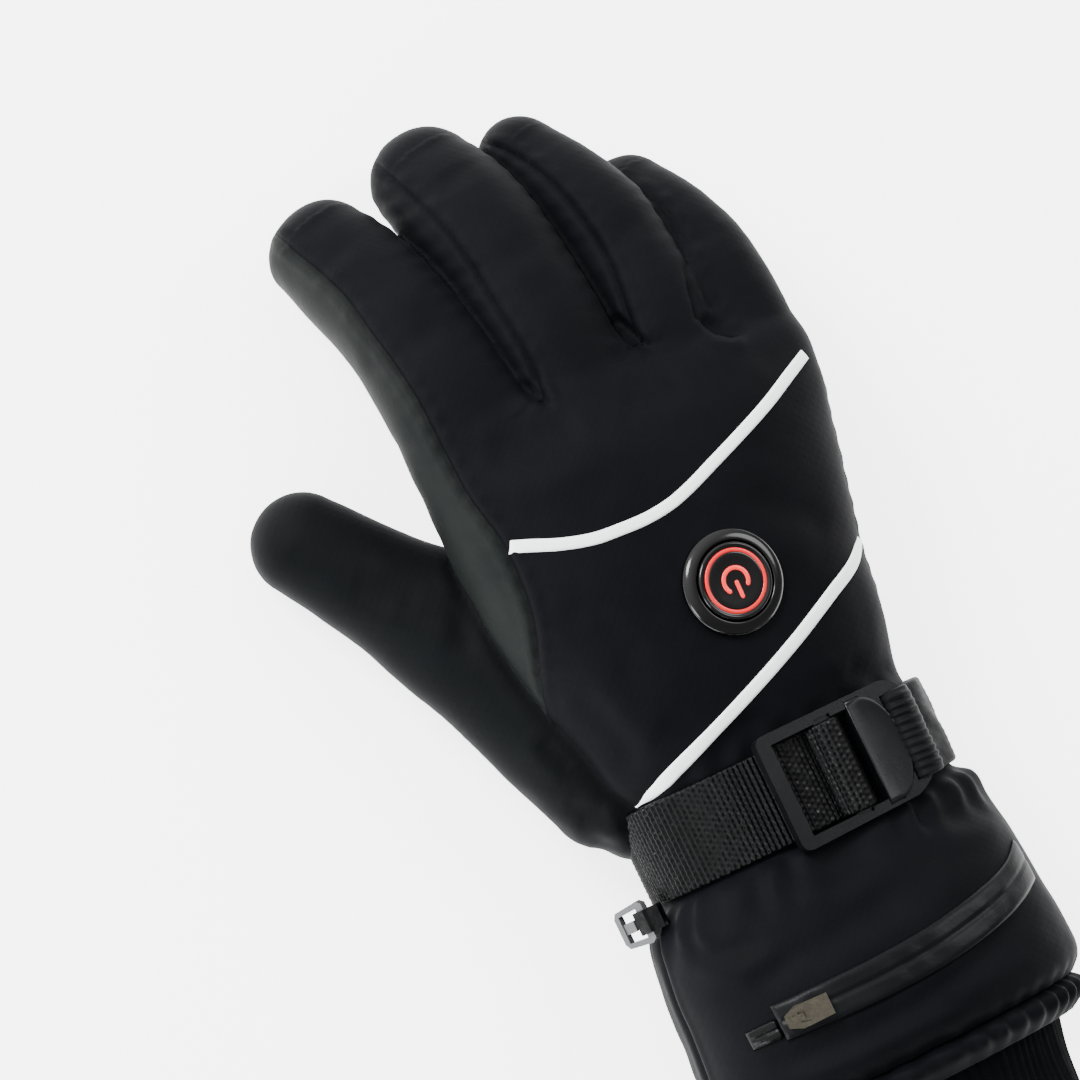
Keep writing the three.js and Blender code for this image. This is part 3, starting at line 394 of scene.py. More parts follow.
# Each fold: height (minus is a dent), width, and its line
HAND_FOLDS = [
    # slits that run on into the back between the fingers, each ending in a small tuck
    (-1.8, 1.2, [(-17.0, 127), (-15.4, 123.6), (-13.6, 120.0), (-12.6, 118.2)]),
    (0.5, 1.8, [(-19.0, 124), (-17.0, 120.2), (-15.0, 117.4)]),
    (0.7, 1.8, [(-13.2, 126), (-11.6, 121.6), (-11.0, 117.6)]),
    (-2.4, 1.3, [(12.6, 134), (14.6, 128.4), (15.6, 124.6), (17.8, 121.4)]),
    (0.8, 1.8, [(11.6, 125), (13.4, 121.2), (16.0, 118.6)]),
    (0.6, 1.8, [(18.0, 127), (19.6, 123.6), (21.4, 121.2)]),
    (-2.0, 1.2, [(38.0, 140), (35.6, 131), (34.2, 123.4), (36.4, 118.4), (40.0, 115.4), (43.0, 114.4)]),
    (0.8, 1.8, [(32.4, 120), (34.6, 115.4), (39.0, 112.2), (43.0, 111.6)]),
    (0.6, 1.6, [(38.6, 121), (41.0, 118.2), (44.0, 117.4)]),
    # soft hollows and swells over the knuckles and the back
    (-1.2, 6.5, [(-34, 116), (-20, 110), (-6, 112)]),
    (-0.9, 6.0, [(4, 112), (14, 108), (24, 111)]),
    (0.8, 9.0, [(-38, 104), (-24, 100), (-8, 101), (8, 103)]),
    (-0.8, 5.0, [(-36, 70), (-26, 62), (-22, 50), (-26, 38)]),
    (0.7, 6.0, [(-34, 50), (-30, 34), (-24, 24)]),
    (-0.9, 4.6, [(-41, 47), (-36, 38), (-34, 27), (-36, 18)]),
    (0.6, 5.0, [(20, 66), (28, 58), (33, 48)]),
    (-0.7, 4.4, [(22, 74), (34, 66), (42, 56)]),
    (-0.8, 3.6, [(28, 22), (34, 17), (42, 14)]),
    (0.6, 3.2, [(22, 24), (32, 22), (42, 21)]),
    (-0.6, 3.4, [(-16, 14), (-6, 18), (4, 19)]),
    (0.5, 3.4, [(-22, 17.5), (-10, 22), (0, 24)]),
    # thumb base and the side under the index finger
    (-0.9, 3.6, [(-62, 66), (-58, 76), (-55, 86)]),
    (-0.8, 2.6, [(-53.6, 38.6), (-51.5, 33), (-49.3, 27.1)]),
    (0.7, 3.6, [(-57.5, 42), (-55, 33), (-52, 25)]),
    (-0.7, 3.0, [(-56, 20), (-51, 15), (-45, 13)]),
    (0.6, 3.0, [(-54, 12), (-48, 9), (-43, 9)]),
    (-0.5, 2.4, [(-52, 6), (-47, 3), (-42, 3)]),
    # fingers: bends over the middle joints
    (-0.7, 4.0, [(-55, 150), (-44, 147), (-28, 150)]),
    (0.6, 5.0, [(-57, 160), (-44, 158), (-28, 160)]),
    (-0.6, 4.0, [(-24, 160), (-10, 158), (6, 161)]),
    (-0.6, 4.0, [(10, 154), (22, 151), (33, 154)]),
    (-0.6, 4.0, [(37, 146), (44, 143), (51, 146)]),
    (-0.6, 3.4, [(-66, 180), (-54, 178), (-40, 181)]),
    (-0.5, 3.4, [(-26, 186), (-14, 184), (-2, 187)]),
    (-0.7, 4.4, [(-82, 98), (-74, 92), (-66, 84)]),
    (0.6, 5.0, [(-78, 88), (-70, 80), (-62, 72)]),
]
PALM_FOLDS = [
    (-1.4, 3.4, [(-44, 92), (-20, 84), (10, 86), (44, 94)]),
    (-1.2, 3.0, [(-30, 40), (-12, 52), (-4, 70), (-8, 88)]),
    (-1.0, 3.0, [(40, 30), (20, 44), (6, 60)]),
    (-0.9, 2.6, [(-34, 14), (0, 8), (36, 12)]),
    (-0.9, 2.6, [(-54, 142), (-40, 140), (-26, 143)]),
    (-0.9, 2.6, [(-24, 146), (-10, 144), (6, 147)]),
    (-0.9, 2.6, [(10, 142), (22, 140), (34, 143)]),
    (-0.9, 2.4, [(34, 134), (44, 132), (54, 135)]),
]


def add_folds(height, flat, folds, weight):
    for depth, width, line in folds:
        gap, share = line_distance(flat, line)
        ends = smoothstep(0, 0.22, share) * smoothstep(1, 0.78, share) * 0.75 + 0.25
        height += depth * np.exp(-(gap / width) ** 2) * ends * weight
    return height


def value_noise(points, size, seed):
    """Smooth noise from -1 to 1 with features of about the size given."""
    place = points / size + 100.0 + seed * 17.3
    base = np.floor(place).astype(np.int64)
    t = place - base
    t = t * t * (3 - 2 * t)
    total = 0
    for i in (0, 1):
        for j in (0, 1):
            for k in (0, 1):
                corner = base + np.array([i, j, k])
                h = corner[:, 0] * 374761393 + corner[:, 1] * 668265263 + corner[:, 2] * 2147483647
                h = (h ^ (h >> 13)) * 1274126177
                value = ((h ^ (h >> 16)) & 65535) / 32767.5 - 1
                shares = [t[:, axis] if far else 1 - t[:, axis] for axis, far in enumerate((i, j, k))]
                total = total + value * shares[0] * shares[1] * shares[2]
    return total


def cut_along(points, triangles, values, columns):
    """Cuts triangles where values change sign; returns points, triangles, values and columns."""
    triangles = np.asarray(triangles)
    above = values[triangles] >= 0
    mixed = above.any(1) & ~above.all(1)
    cut = triangles[mixed]
    side = above[mixed]
    lone = np.where(side.sum(1) == 1, side.argmax(1), (~side).argmax(1))
    k = np.arange(len(cut))
    a, b, c = cut[k, lone], cut[k, (lone + 1) % 3], cut[k, (lone + 2) % 3]
    pairs = np.concatenate([np.stack([a, b], 1), np.stack([a, c], 1)])
    ordered = np.sort(pairs, axis=1)
    edges, place = np.unique(ordered, axis=0, return_inverse=True)
    place = place.ravel()
    start, stop = edges[:, 0], edges[:, 1]
    share = values[start] / (values[start] - values[stop])
    blend = lambda column: column[start] + (column[stop] - column[start]) * (
        share if column.ndim == 1 else share[:, None])
    base = len(points)
    columns = [np.concatenate([column, blend(column)]) for column in columns]
    points = np.concatenate([points, blend(points)])
    values = np.concatenate([values, np.zeros(len(edges))])
    ab, ac = base + place[:len(cut)], base + place[len(cut):]
    parts = [np.stack([a, ab, ac], 1), np.stack([ab, b, c], 1), np.stack([ab, c, ac], 1)]
    return points, np.concatenate([triangles[~mixed]] + parts), values, columns


# Pieces from arrays
def to_frame(points):
    return (np.asarray(points, float) + FRAME_SHIFT) * MM


def new_piece(name, points, faces, body, material, stands_for=()):
    mesh = bpy.data.meshes.new(name)
    mesh.from_pydata(to_frame(points).tolist(), [], [list(map(int, f)) for f in faces])
    mesh.validate()
    mesh.update()
    piece = bpy.data.objects.new(name, mesh)
    bpy.context.scene.collection.objects.link(piece)
    mesh.polygons.foreach_set("use_smooth", np.ones(len(mesh.polygons), bool))
    mesh.materials.append(material)
    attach(piece, body)
    if stands_for:
        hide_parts(*stands_for)
    return piece


def used_only(points, faces):
    """The points that the faces use, with the faces renumbered."""
    faces = np.asarray(faces)
    used = np.unique(faces)
    renumber = np.zeros(len(points), int)
    renumber[used] = np.arange(len(used))
    return points[used], renumber[faces]


def loft(rings, closed_ends=False, joined=False):
    """Faces between rings of equal counts; joined, the last ring meets the first, as in a sleeve's wall."""
    rings = np.asarray(rings, float)
    rows, count, _ = rings.shape
    k = np.arange(count)
    nxt = (k + 1) % count
    faces = []
    for r in range(rows if joined else rows - 1):
        here = r * count
        there = ((r + 1) % rows) * count
        faces.append(np.stack([here + k, here + nxt, there + nxt, there + k], 1))
    faces = np.concatenate(faces).tolist()
    if closed_ends:
        faces.append(list(range(count))[::-1])
        faces.append(list(range((rows - 1) * count, rows * count)))
    return rings.reshape(-1, 3), faces


# Materials
def shader(name, colour, roughness, metallic=0.0, specular=0.5, sheen=0.0):
    material = bpy.data.materials.new(name)
    material.use_nodes = True
    nodes = material.node_tree.nodes
    bsdf = nodes["Principled BSDF"]
    bsdf.inputs["Base Color"].default_value = (*colour, 1)
    bsdf.inputs["Roughness"].default_value = roughness
    bsdf.inputs["Metallic"].default_value = metallic
    bsdf.inputs["Specular IOR Level"].default_value = specular
    bsdf.inputs["Sheen Weight"].default_value = sheen
    return material, nodes, material.node_tree.links, bsdf


def node(nodes, kind, **values):
    made = nodes.new(kind)
    for key, value in values.items():
        if key in made.inputs:
            made.inputs[key].default_value = value
        else:
            setattr(made, key, value)
    return made


def mottled(nodes, links, bsdf, dark, light, scale, coords):
    noise = node(nodes, "ShaderNodeTexNoise", Scale=scale, Detail=4.0, Roughness=0.6)
    ramp = node(nodes, "ShaderNodeValToRGB")
    ramp.color_ramp.elements[0].position = 0.3
    ramp.color_ramp.elements[0].color = (*dark, 1)
    ramp.color_ramp.elements[1].position = 0.72
    ramp.color_ramp.elements[1].color = (*light, 1)
    links.new(coords, noise.inputs["Vector"])
    links.new(noise.outputs["Fac"], ramp.inputs["Fac"])
    links.new(ramp.outputs["Color"], bsdf.inputs["Base Color"])
    return noise


def rough_range(nodes, links, bsdf, source, low, high):
    ranged = node(nodes, "ShaderNodeMapRange")
    ranged.inputs["To Min"].default_value = low
    ranged.inputs["To Max"].default_value = high
    links.new(source, ranged.inputs["Value"])
    links.new(ranged.outputs["Result"], bsdf.inputs["Roughness"])


def bump(nodes, links, bsdf, height, strength, distance):
    made = node(nodes, "ShaderNodeBump", Strength=strength, Distance=distance)
    links.new(height, made.inputs["Height"])
    links.new(made.outputs["Normal"], bsdf.inputs["Normal"])
    return made


def woven_material(name, dark, light, thread, roughness, sheen, strength, specular):
    """Cloth with a fine crossed weave, soft mottling and a faint sheen."""
    material, nodes, links, bsdf = shader(name, dark, roughness, sheen=sheen, specular=specular)
    bsdf.inputs["Sheen Roughness"].default_value = 0.4
    bsdf.inputs["Sheen Tint"].default_value = (0.7, 0.76, 0.85, 1)
    coords = node(nodes, "ShaderNodeTexCoord").outputs["Object"]
    noise = mottled(nodes, links, bsdf, dark, light, 34.0, coords)
    rough_range(nodes, links, bsdf, noise.outputs["Fac"], roughness - 0.08, roughness + 0.08)
    waves = []
    for turn in (45, -45):
        mapping = node(nodes, "ShaderNodeMapping")
        mapping.inputs["Rotation"].default_value = (math.radians(12), math.radians(8), math.radians(turn))
        links.new(coords, mapping.inputs["Vector"])
        wave = node(nodes, "ShaderNodeTexWave", Scale=1 / (thread * 20), Distortion=0.6, Detail=1.0)
        links.new(mapping.outputs["Vector"], wave.inputs["Vector"])
        waves.append(wave.outputs["Fac"])
    weave = node(nodes, "ShaderNodeMath", operation="MULTIPLY")
    links.new(waves[0], weave.inputs[0])
    links.new(waves[1], weave.inputs[1])
    grain = node(nodes, "ShaderNodeTexNoise", Scale=900.0, Detail=2.0)
    links.new(coords, grain.inputs["Vector"])
    total = node(nodes, "ShaderNodeMath", operation="ADD")
    links.new(weave.outputs[0], total.inputs[0])
    links.new(grain.outputs["Fac"], total.inputs[1])
    bump(nodes, links, bsdf, total.outputs[0], strength, 0.00025)
    return material


def grained_material(name, dark, light, roughness, cell, strength, specular):
    """Synthetic leather or moulded plastic with a pebbled grain."""
    material, nodes, links, bsdf = shader(name, dark, roughness, specular=specular)
    coords = node(nodes, "ShaderNodeTexCoord").outputs["Object"]
    noise = mottled(nodes, links, bsdf, dark, light, 60.0, coords)
    rough_range(nodes, links, bsdf, noise.outputs["Fac"], roughness - 0.07, roughness + 0.09)
    pebble = node(nodes, "ShaderNodeTexVoronoi", Scale=1 / cell)
    links.new(coords, pebble.inputs["Vector"])
    fine = node(nodes, "ShaderNodeTexNoise", Scale=1.6 / cell, Detail=3.0)
    links.new(coords, fine.inputs["Vector"])
    total = node(nodes, "ShaderNodeMath", operation="ADD")
    links.new(pebble.outputs["Distance"], total.inputs[0])
    links.new(fine.outputs["Fac"], total.inputs[1])
    bump(nodes, links, bsdf, total.outputs[0], strength, 0.0002)
    return material


def metal_material(name, colour, roughness):
    material, nodes, links, bsdf = shader(name, colour, roughness, metallic=1.0)
    coords = node(nodes, "ShaderNodeTexCoord").outputs["Object"]
    dark = tuple(c * 0.72 for c in colour)
    noise = mottled(nodes, links, bsdf, dark, colour, 900.0, coords)
    rough_range(nodes, links, bsdf, noise.outputs["Fac"], roughness - 0.08, roughness + 0.14)
    bump(nodes, links, bsdf, noise.outputs["Fac"], 0.12, 0.0001)
    return material


def glow_material(name, colour, strength):
    material, nodes, links, bsdf = shader(name, colour, 0.3)
    coords = node(nodes, "ShaderNodeTexCoord").outputs["Object"]
    noise = node(nodes, "ShaderNodeTexNoise", Scale=700.0, Detail=2.0)
    links.new(coords, noise.inputs["Vector"])
    ramp = node(nodes, "ShaderNodeValToRGB")
    ramp.color_ramp.elements[0].color = (*[c * 0.8 for c in colour], 1)
    ramp.color_ramp.elements[1].color = (*colour, 1)
    links.new(noise.outputs["Fac"], ramp.inputs["Fac"])
    links.new(ramp.outputs["Color"], bsdf.inputs["Base Color"])
    links.new(ramp.outputs["Color"], bsdf.inputs["Emission Color"])
    bsdf.inputs["Emission Strength"].default_value = strength
    return material


# Cloths: dark colour, light colour, thread, roughness, sheen, bump, specular
SOFTSHELL = woven_material("softshell", (0.0014, 0.0016, 0.0023), (0.0028, 0.0031, 0.0041),
                           0.00032, 0.66, 0.008, 0.1, 0.04)
THUMB_CLOTH = woven_material("thumb_softshell", (0.0017, 0.0021, 0.0026), (0.0034, 0.0040, 0.0046),
                             0.00032, 0.66, 0.008, 0.1, 0.04)
LINING = woven_material("lining", (0.0012, 0.0014, 0.0018), (0.0026, 0.0030, 0.0036),
                        0.0009, 0.85, 0.02, 0.5, 0.03)
WEBBING = woven_material("webbing", (0.0005, 0.0005, 0.0007), (0.0013, 0.0014, 0.0018),
                         0.0007, 0.30, 0.0, 0.55, 0.12)
ELASTIC = woven_material("elastic", (0.0020, 0.0022, 0.0027), (0.0042, 0.0045, 0.0052),
                         0.0005, 0.6, 0.01, 0.3, 0.06)
REFLECTIVE = woven_material("reflective_tape", (0.93, 0.95, 0.97), (0.98, 0.99, 1.0),
                            0.0004, 0.5, 0.0, 0.05, 0.4)
# Grained: dark colour, light colour, roughness, grain size, bump, specular
PALM = grained_material("palm_grain", (0.0034, 0.0043, 0.0042), (0.0066, 0.0080, 0.0075),
                        0.6, 0.0011, 0.22, 0.07)
PLASTIC = grained_material("moulded_plastic", (0.0016, 0.0018, 0.0022), (0.0026, 0.0029, 0.0034),
                           0.26, 0.0006, 0.06, 0.17)
GLOSS = grained_material("gloss_black", (0.0006, 0.0006, 0.0008), (0.0010, 0.0010, 0.0013),
                         0.14, 0.0009, 0.01, 0.32)
CLIP = grained_material("clip_plastic", (0.045, 0.048, 0.052), (0.085, 0.088, 0.092),
                        0.18, 0.0006, 0.05, 0.8)
COATED = grained_material("coated_cloth", (0.0016, 0.0017, 0.0024), (0.0034, 0.0036, 0.0045),
                          0.36, 0.0014, 0.14, 0.09)
NICKEL = metal_material("nickel", (0.085, 0.077, 0.060), 0.2)
GLOW = glow_material("lit_red", (0.58, 0.004, 0.004), 0.20)
GLOW_HOT = glow_material("lit_symbol", (0.80, 0.024, 0.020), 0.40)


# The hand's shell, cut along its seams into a back, a palm side and a thumb
def along_surface(gradient, normals):
    """How fast a field changes along the surface."""
    facing = np.einsum("ij,ij->i", gradient, normals)[:, None]
    return np.linalg.norm(gradient - facing * normals, axis=1)


def seam_gap(points, normals):
    """Signed distance along the surface from the back panel's seam; plus is the back."""
    step = 0.5
    height = points[:, 2] - seam_height(points[:, 0], points[:, 1])
    x, y = points[:, 0], points[:, 1]
    slope_x = (seam_height(x + step, y) - seam_height(x - step, y)) / (2 * step)
    slope_y = (seam_height(x, y + step) - seam_height(x, y - step)) / (2 * step)
    gradient = np.stack([-slope_x, -slope_y, np.ones(len(points))], 1)
    return height / np.maximum(along_surface(gradient, normals), 0.35)


# The fingers' roots, where their drawn seams start, and how far the index finger's seam reaches over the hand
ROOTS_Y = 100
DRAWN_FROM_Y = 112
INDEX_EDGE_X = -26


def drawn_seams(points, normals, seam):
    """Moves the seam on the thumb side of each finger to the line where it shows from above."""
    names = list(SEAM_LINES)
    fields = np.stack([finger_field(name, *points.T) for name in names], 1)
    nearest = fields.argmin(1)
    nearest[(points[:, 1] < DRAWN_FROM_Y) & (points[:, 0] > INDEX_EDGE_X)] = -1
    nearest[(points[:, 1] < ROOTS_Y) & (points[:, 0] <= INDEX_EDGE_X)] = 0
    flat = seen_from_above(points)
    drawn = np.stack([seam] * len(names), 1)
    for k, name in enumerate(names):
        line = np.array(SEAM_LINES[name], float)[::-1]
        mine = fields[:, k] < 14
        b = flat[mine, 1]
        place = monotone(line[:, 1], line[:, 0], b)
        slope = (monotone(line[:, 1], line[:, 0], b + 1) - monotone(line[:, 1], line[:, 0], b - 1)) / 2
        gradient = VIEW_A - slope[:, None] * VIEW_B
        gap = (flat[mine, 0] - place) / np.maximum(along_surface(gradient, normals[mine]), 0.3)
        if k > 0:
            gap += 30 * smoothstep(line[0, 1] + 2, line[0, 1] - 2, b)
        drawn[mine, k] = np.minimum(seam[mine], gap)
    on_finger = nearest >= 0
    every = np.arange(len(points))
    order = np.argsort(fields, axis=1)
    value = drawn[every, nearest]
    rival = drawn[every, order[:, 1]]
    halfway = (fields[every, order[:, 1]] - fields[every, order[:, 0]]) / 2
    opposed = (np.sign(value) != np.sign(rival)) & (points[:, 1] > ROOTS_Y)
    value = np.where(opposed, np.sign(value) * np.minimum(np.abs(value), halfway), value)
    return np.where(on_finger, value, seam)


def thumb_gap(points):
    """Distance from the line where the thumb meets the hand; minus is the thumb."""
    palm = palm_field(*points.T)
    thumb = finger_field("thumb", *points.T)
    return thumb - palm


# Sewn seams: depth and width of the groove, height and width of the soft rolls beside it
GROOVE = (-0.85, 0.8)
ROLL = (0.3, 1.6)
ROLL_AWAY = 2.6
THUMB_GROOVE = (-1.0, 1.5)
THUMB_ROLL = (0.3, 2.0)
THUMB_ROLL_AWAY = 4.0
# The strips between the fingers lie past this x, and end where the cloth turns this far down
STRIPS_PAST_X = -41
STRIP_EDGE = 0.25
BACK_SIDE, PALM_SIDE, THUMB_SIDE, STRIPS = range(4)


def swell(distance, form):
    height, width = form
    return height * np.exp(-(distance / width) ** 2)


def build_hand():
    low = (-106.0, WRIST_Y, -1.5)
    high = (62.0, 212.0, 76.0)
    field = lambda x, y, z: np.maximum(hand_field(x, y, z), WRIST_Y + 0.5 * CELL - y)
    points, quads = grid_surface(field, low, high, CELL)
    end = points[:, 1] < WRIST_Y + 1.2 * CELL
    points, normals = settle(points, hand_field)
    flat_end = end[quads].all(1)
    quads = quads[~flat_end]
    points[end, 1] = WRIST_Y
    faces = np.concatenate([quads[:, [0, 1, 2]], quads[:, [0, 2, 3]]])
    thumb = thumb_gap(points)
    seam = drawn_seams(points, normals, seam_gap(points, normals))
    points, faces, thumb, (normals, seam) = cut_along(points, faces, thumb, [normals, seam])
    points, faces, seam, (normals, thumb) = cut_along(points, faces, seam, [normals, thumb])
    upward = normals[:, 2] + STRIP_EDGE
    points, faces, upward, (normals, thumb, seam) = cut_along(points, faces, upward, [normals, thumb, seam])
    flat = seen_from_above(points)
    height = np.zeros(len(points))
    upper = smoothstep(-0.1, 0.45, normals[:, 2])
    height = add_folds(height, flat, HAND_FOLDS, upper)
    height = add_folds(height, points[:, :2], PALM_FOLDS, smoothstep(-0.2, -0.7, normals[:, 2]))
    height += 0.35 * value_noise(points, 17.0, 1) + 0.12 * value_noise(points, 6.0, 2)
    on_thumb = thumb < 0
    # the back panel's seam: a crisp sewn line with soft rolls on both sides
    beside = np.abs(seam)
    away = smoothstep(0.0, 5.0, np.abs(thumb))
    groove = (swell(beside, GROOVE) + swell(beside - ROLL_AWAY, ROLL)) * away
    groove = np.where(on_thumb, 0, groove) * smoothstep(-0.1, 0.4, normals[:, 2])
    height += groove
    puckers = np.sin(points[:, 1] * 1.05 + 1.7 * value_noise(points, 14.0, 4))
    puckers = puckers * np.exp(-((beside - 2.2) / 2.2) ** 2)
    height += 0.14 * puckers * np.where(on_thumb, 0, 1)
    height += swell(np.abs(thumb), THUMB_GROOVE) + swell(np.abs(thumb) - THUMB_ROLL_AWAY, THUMB_ROLL)
    # gathers that run into the wrist
    wave = np.sin(points[:, 0] * 0.62 + 2.4 * value_noise(points * [1, 0.25, 1], 15.0, 5))
    height += 0.5 * wave * smoothstep(17.5, 11.5, points[:, 1]) * smoothstep(-3.0, 4.0, points[:, 1])
    ground = smoothstep(0.4, 3.0, points[:, 2])
    points = points + normals * (height * ground)[:, None]
    points[:, 2] = np.maximum(points[:, 2], 0.02)
    side = np.where(seam[faces].mean(1) > 0, BACK_SIDE, PALM_SIDE)
    side = np.where(thumb[faces].mean(1) < 0, THUMB_SIDE, side)
    middle = points[faces].mean(1)
    between = (middle[:, 0] > STRIPS_PAST_X) & (middle[:, 1] > ROOTS_Y) & (upward[faces].mean(1) > 0)
    side = np.where((side == PALM_SIDE) & between, STRIPS, side)
    return points, faces, side


hand_points, hand_faces, hand_side = build_hand()


def hand_piece(name, parts, node_name, material):
    points, faces = used_only(hand_points, hand_faces[np.isin(hand_side, parts)])
    piece = new_piece(name, points, faces, "glove", material, [node_name])
    return piece


back_panel = hand_piece("back_panel", [BACK_SIDE], "back_shell", SOFTSHELL)
palm_panel = hand_piece("palm_panel", [PALM_SIDE, STRIPS], "palm_shell", PALM)
hand_piece("thumb_panel", [THUMB_SIDE], "thumb_shell", THUMB_CLOTH)


# The strips between the fingers are the back's cloth, sewn to the palm
palm_panel.data.materials.append(SOFTSHELL)
palm_parts = hand_side[np.isin(hand_side, [PALM_SIDE, STRIPS])]
palm_panel.data.polygons.foreach_set("material_index", (palm_parts == STRIPS).astype(np.int32))


def build_hand_lining():
    field = lambda x, y, z: hand_field(x, y, z) + WALL
    points, quads = grid_surface(lambda x, y, z: np.maximum(field(x, y, z), WRIST_Y + 0.5 - y),
                                 (-102.0, WRIST_Y - 1, 0.0), (60.0, 208.0, 74.0), INNER_CELL)
    end = points[:, 1] < WRIST_Y + 1.4 * INNER_CELL
    quads = quads[~end[quads].all(1)]
    points[end, 1] = WRIST_Y
    points, faces = used_only(points, quads[:, ::-1])
    return new_piece("hand_lining", points, faces, "glove", LINING)


build_hand_lining()


# The cuff, its elastic hem and the inner cuff, as sleeves with a wall
def section_ring(mid_x, low, top, half, square, angles, grow, y, height=0.0):
    half_z = (top - low) / 2 + grow + height
    x = mid_x + (half + grow + height) * super_power(np.cos(angles), square)
    z = (low + top) / 2 + half_z * super_power(np.sin(angles), square)
    floor = max(-grow, 0.0) + 0.02
    soft = np.where(z < floor + 1.5, floor + 1.5 * np.exp((z - floor - 1.5) / 1.5), z)
    return np.stack([x, np.full(len(angles), float(y)) if np.isscalar(y) else y, soft], 1)


def sleeve_rings(rows, stations, angles, grow, relief=None):
    """Rings of a table's sections at each y, with relief(y) added all round."""
    table = across_table(rows, stations)
    rings = []
    for i, y in enumerate(stations):
        height = relief(y) if relief else 0.0
        rings.append(section_ring(*[t[i] for t in table[:5]], angles, grow, y, height))
    return rings


def even_angles(rows, y, count):
    """Angles that put a ring's points at even steps round a section."""
    mid_x, low, top, half, square = [float(v) for v in across_table(rows, float(y))[:5]]
    fine = np.linspace(0, 2 * np.pi, 4001)
    ring = section_ring(mid_x, low, top, half, square, fine, 0, y)
    lengths = np.concatenate([[0], np.cumsum(np.linalg.norm(np.diff(ring, axis=0), axis=1))])
    return np.interp(np.linspace(0, lengths[-1], count, endpoint=False), lengths, fine)


def sleeve_piece(name, rings, material, node_name):
    points, faces = loft(rings, joined=True)
    piece = new_piece(name, points, np.array(faces)[:, ::-1], "glove", material, [node_name])
    return piece


CUFF_FOLDS = [
    # height, width, line in picture-plane millimetres
    (-1.2, 2.6, [(-46, -26), (-38, -32), (-26, -34)]),
    (0.9, 3.4, [(-44, -34), (-32, -39), (-18, -38)]),
    (-0.9, 3.4, [(-10, -20), (2, -25), (16, -25)]),
    (0.8, 4.0, [(-14, -26), (0, -32), (18, -32)]),
    (-1.0, 3.0, [(26, -22), (36, -27), (47, -28)]),
    (0.7, 3.6, [(28, -30), (38, -34), (49, -36)]),
    (0.9, 6.0, [(-30, -46), (-8, -47), (16, -45), (38, -38)]),
    (-0.8, 4.0, [(-36, -45), (-20, -42), (0, -41), (20, -40)]),
    (-0.9, 3.0, [(-40, -64), (-20, -67), (4, -67), (26, -64), (44, -58)]),
    (0.8, 4.0, [(-36, -70), (-14, -73), (10, -73), (32, -70)]),
    (-0.6, 3.0, [(10, -70), (26, -74), (44, -74)]),
]


def build_cuff():
    gathered, plain, end = np.arange(-2, -26, -0.8), np.arange(-26, -72, -1.3), np.arange(-72, -79.4, -0.6)
    stations = np.concatenate([gathered, plain, end, [-79.5]])
    angles = even_angles(CUFF_ROWS, -50, 340)
    rings = np.array(sleeve_rings(CUFF_ROWS, stations, angles, 0))
    points = rings.reshape(-1, 3)
    around = np.tile(angles, len(stations))
    y = points[:, 1]
    normals = points - np.stack([np.full(len(points), -1.5), y, np.full(len(points), 33.0)], 1)
    normals /= np.linalg.norm(normals, axis=1)[:, None]
    height = np.zeros(len(points))
    upper = smoothstep(0.0, 0.5, normals[:, 2])
    height = add_folds(height, seen_from_above(points), CUFF_FOLDS, upper)
    drift = value_noise(np.stack([np.cos(around) * 40, y * 0.3, np.sin(around) * 40], 1), 13.0, 8)
    height += 0.75 * np.sin(around * 26 + 2.6 * drift) * smoothstep(-15.5, -19, y) * smoothstep(-34, -20, y)
    height += 0.35 * np.sin(around * 38 + 3.0 * drift) * smoothstep(-74.5, -78.5, y)
    height += 0.6 * value_noise(points, 21.0, 9) * smoothstep(-18, -30, y)
    height += 0.15 * value_noise(points, 6.0, 10)
    # side seams, sunk between soft rolls
    for seam_angle in (math.radians(176), math.radians(4)):
        gap = np.abs(np.angle(np.exp(1j * (around - seam_angle)))) * 50
        rolls = swell(gap, (-0.9, 1.0)) + swell(gap - 3, (0.4, 1.8))
        height += rolls * smoothstep(-17, -24, y)
    height *= smoothstep(0.3, 3.5, points[:, 2]) * smoothstep(-14, -18, y)
    points = points + normals * height[:, None]
    inner = sleeve_rings(CUFF_ROWS, np.linspace(-79.3, -2.2, 40), angles, -CUFF_WALL)
    rings = np.concatenate([points.reshape(rings.shape), np.array(inner)])
    return sleeve_piece("cuff_panel", rings, SOFTSHELL, "cuff_shell")


cuff_panel = build_cuff()


def build_hem():
    angles = even_angles(HEM_ROWS, -82, 420)
    start, length = -79.7, 8.9
    drift = 1.2 * np.sin(angles * 5 + 1.0) + 0.8 * np.sin(angles * 9)

    def gathers(y):
        share = (start - y) / length
        rise = 1.1 * math.sin(math.pi * share) ** 0.7
        depth = 0.35 + 0.65 * math.sin(math.pi * share)
        return rise + 0.75 * np.sin(angles * 44 + drift + 1.2 * share) * depth

    rings = sleeve_rings(HEM_ROWS, np.linspace(start, start - length, 18), angles, -0.6, gathers)
    rings += sleeve_rings(HEM_ROWS, np.linspace(-88.4, -79.9, 8), angles, -CUFF_WALL)
    return sleeve_piece("hem_gather", rings, SOFTSHELL, "cuff_hem")


build_hem()


def build_inner_cuff():
    angles = even_angles(LINING_ROWS, -90, 260)

    def knit(y):
        ribs = 0.28 * np.cos(angles * 88) * smoothstep(-84, -88, y)
        return ribs + 0.5 * np.sin(angles * 7 + 0.08 * y) * smoothstep(-70, -88, y)

    stations = np.concatenate([np.linspace(-67.6, -86, 16), np.linspace(-87, -107.9, 34)])
    rings = sleeve_rings(LINING_ROWS, stations, angles, -0.3, knit)
    rings += sleeve_rings(LINING_ROWS, np.linspace(-107.9, -67.7, 18), angles, -LINING_WALL)
    return sleeve_piece("inner_cuff_knit", rings, LINING, "inner_cuff")


build_inner_cuff()


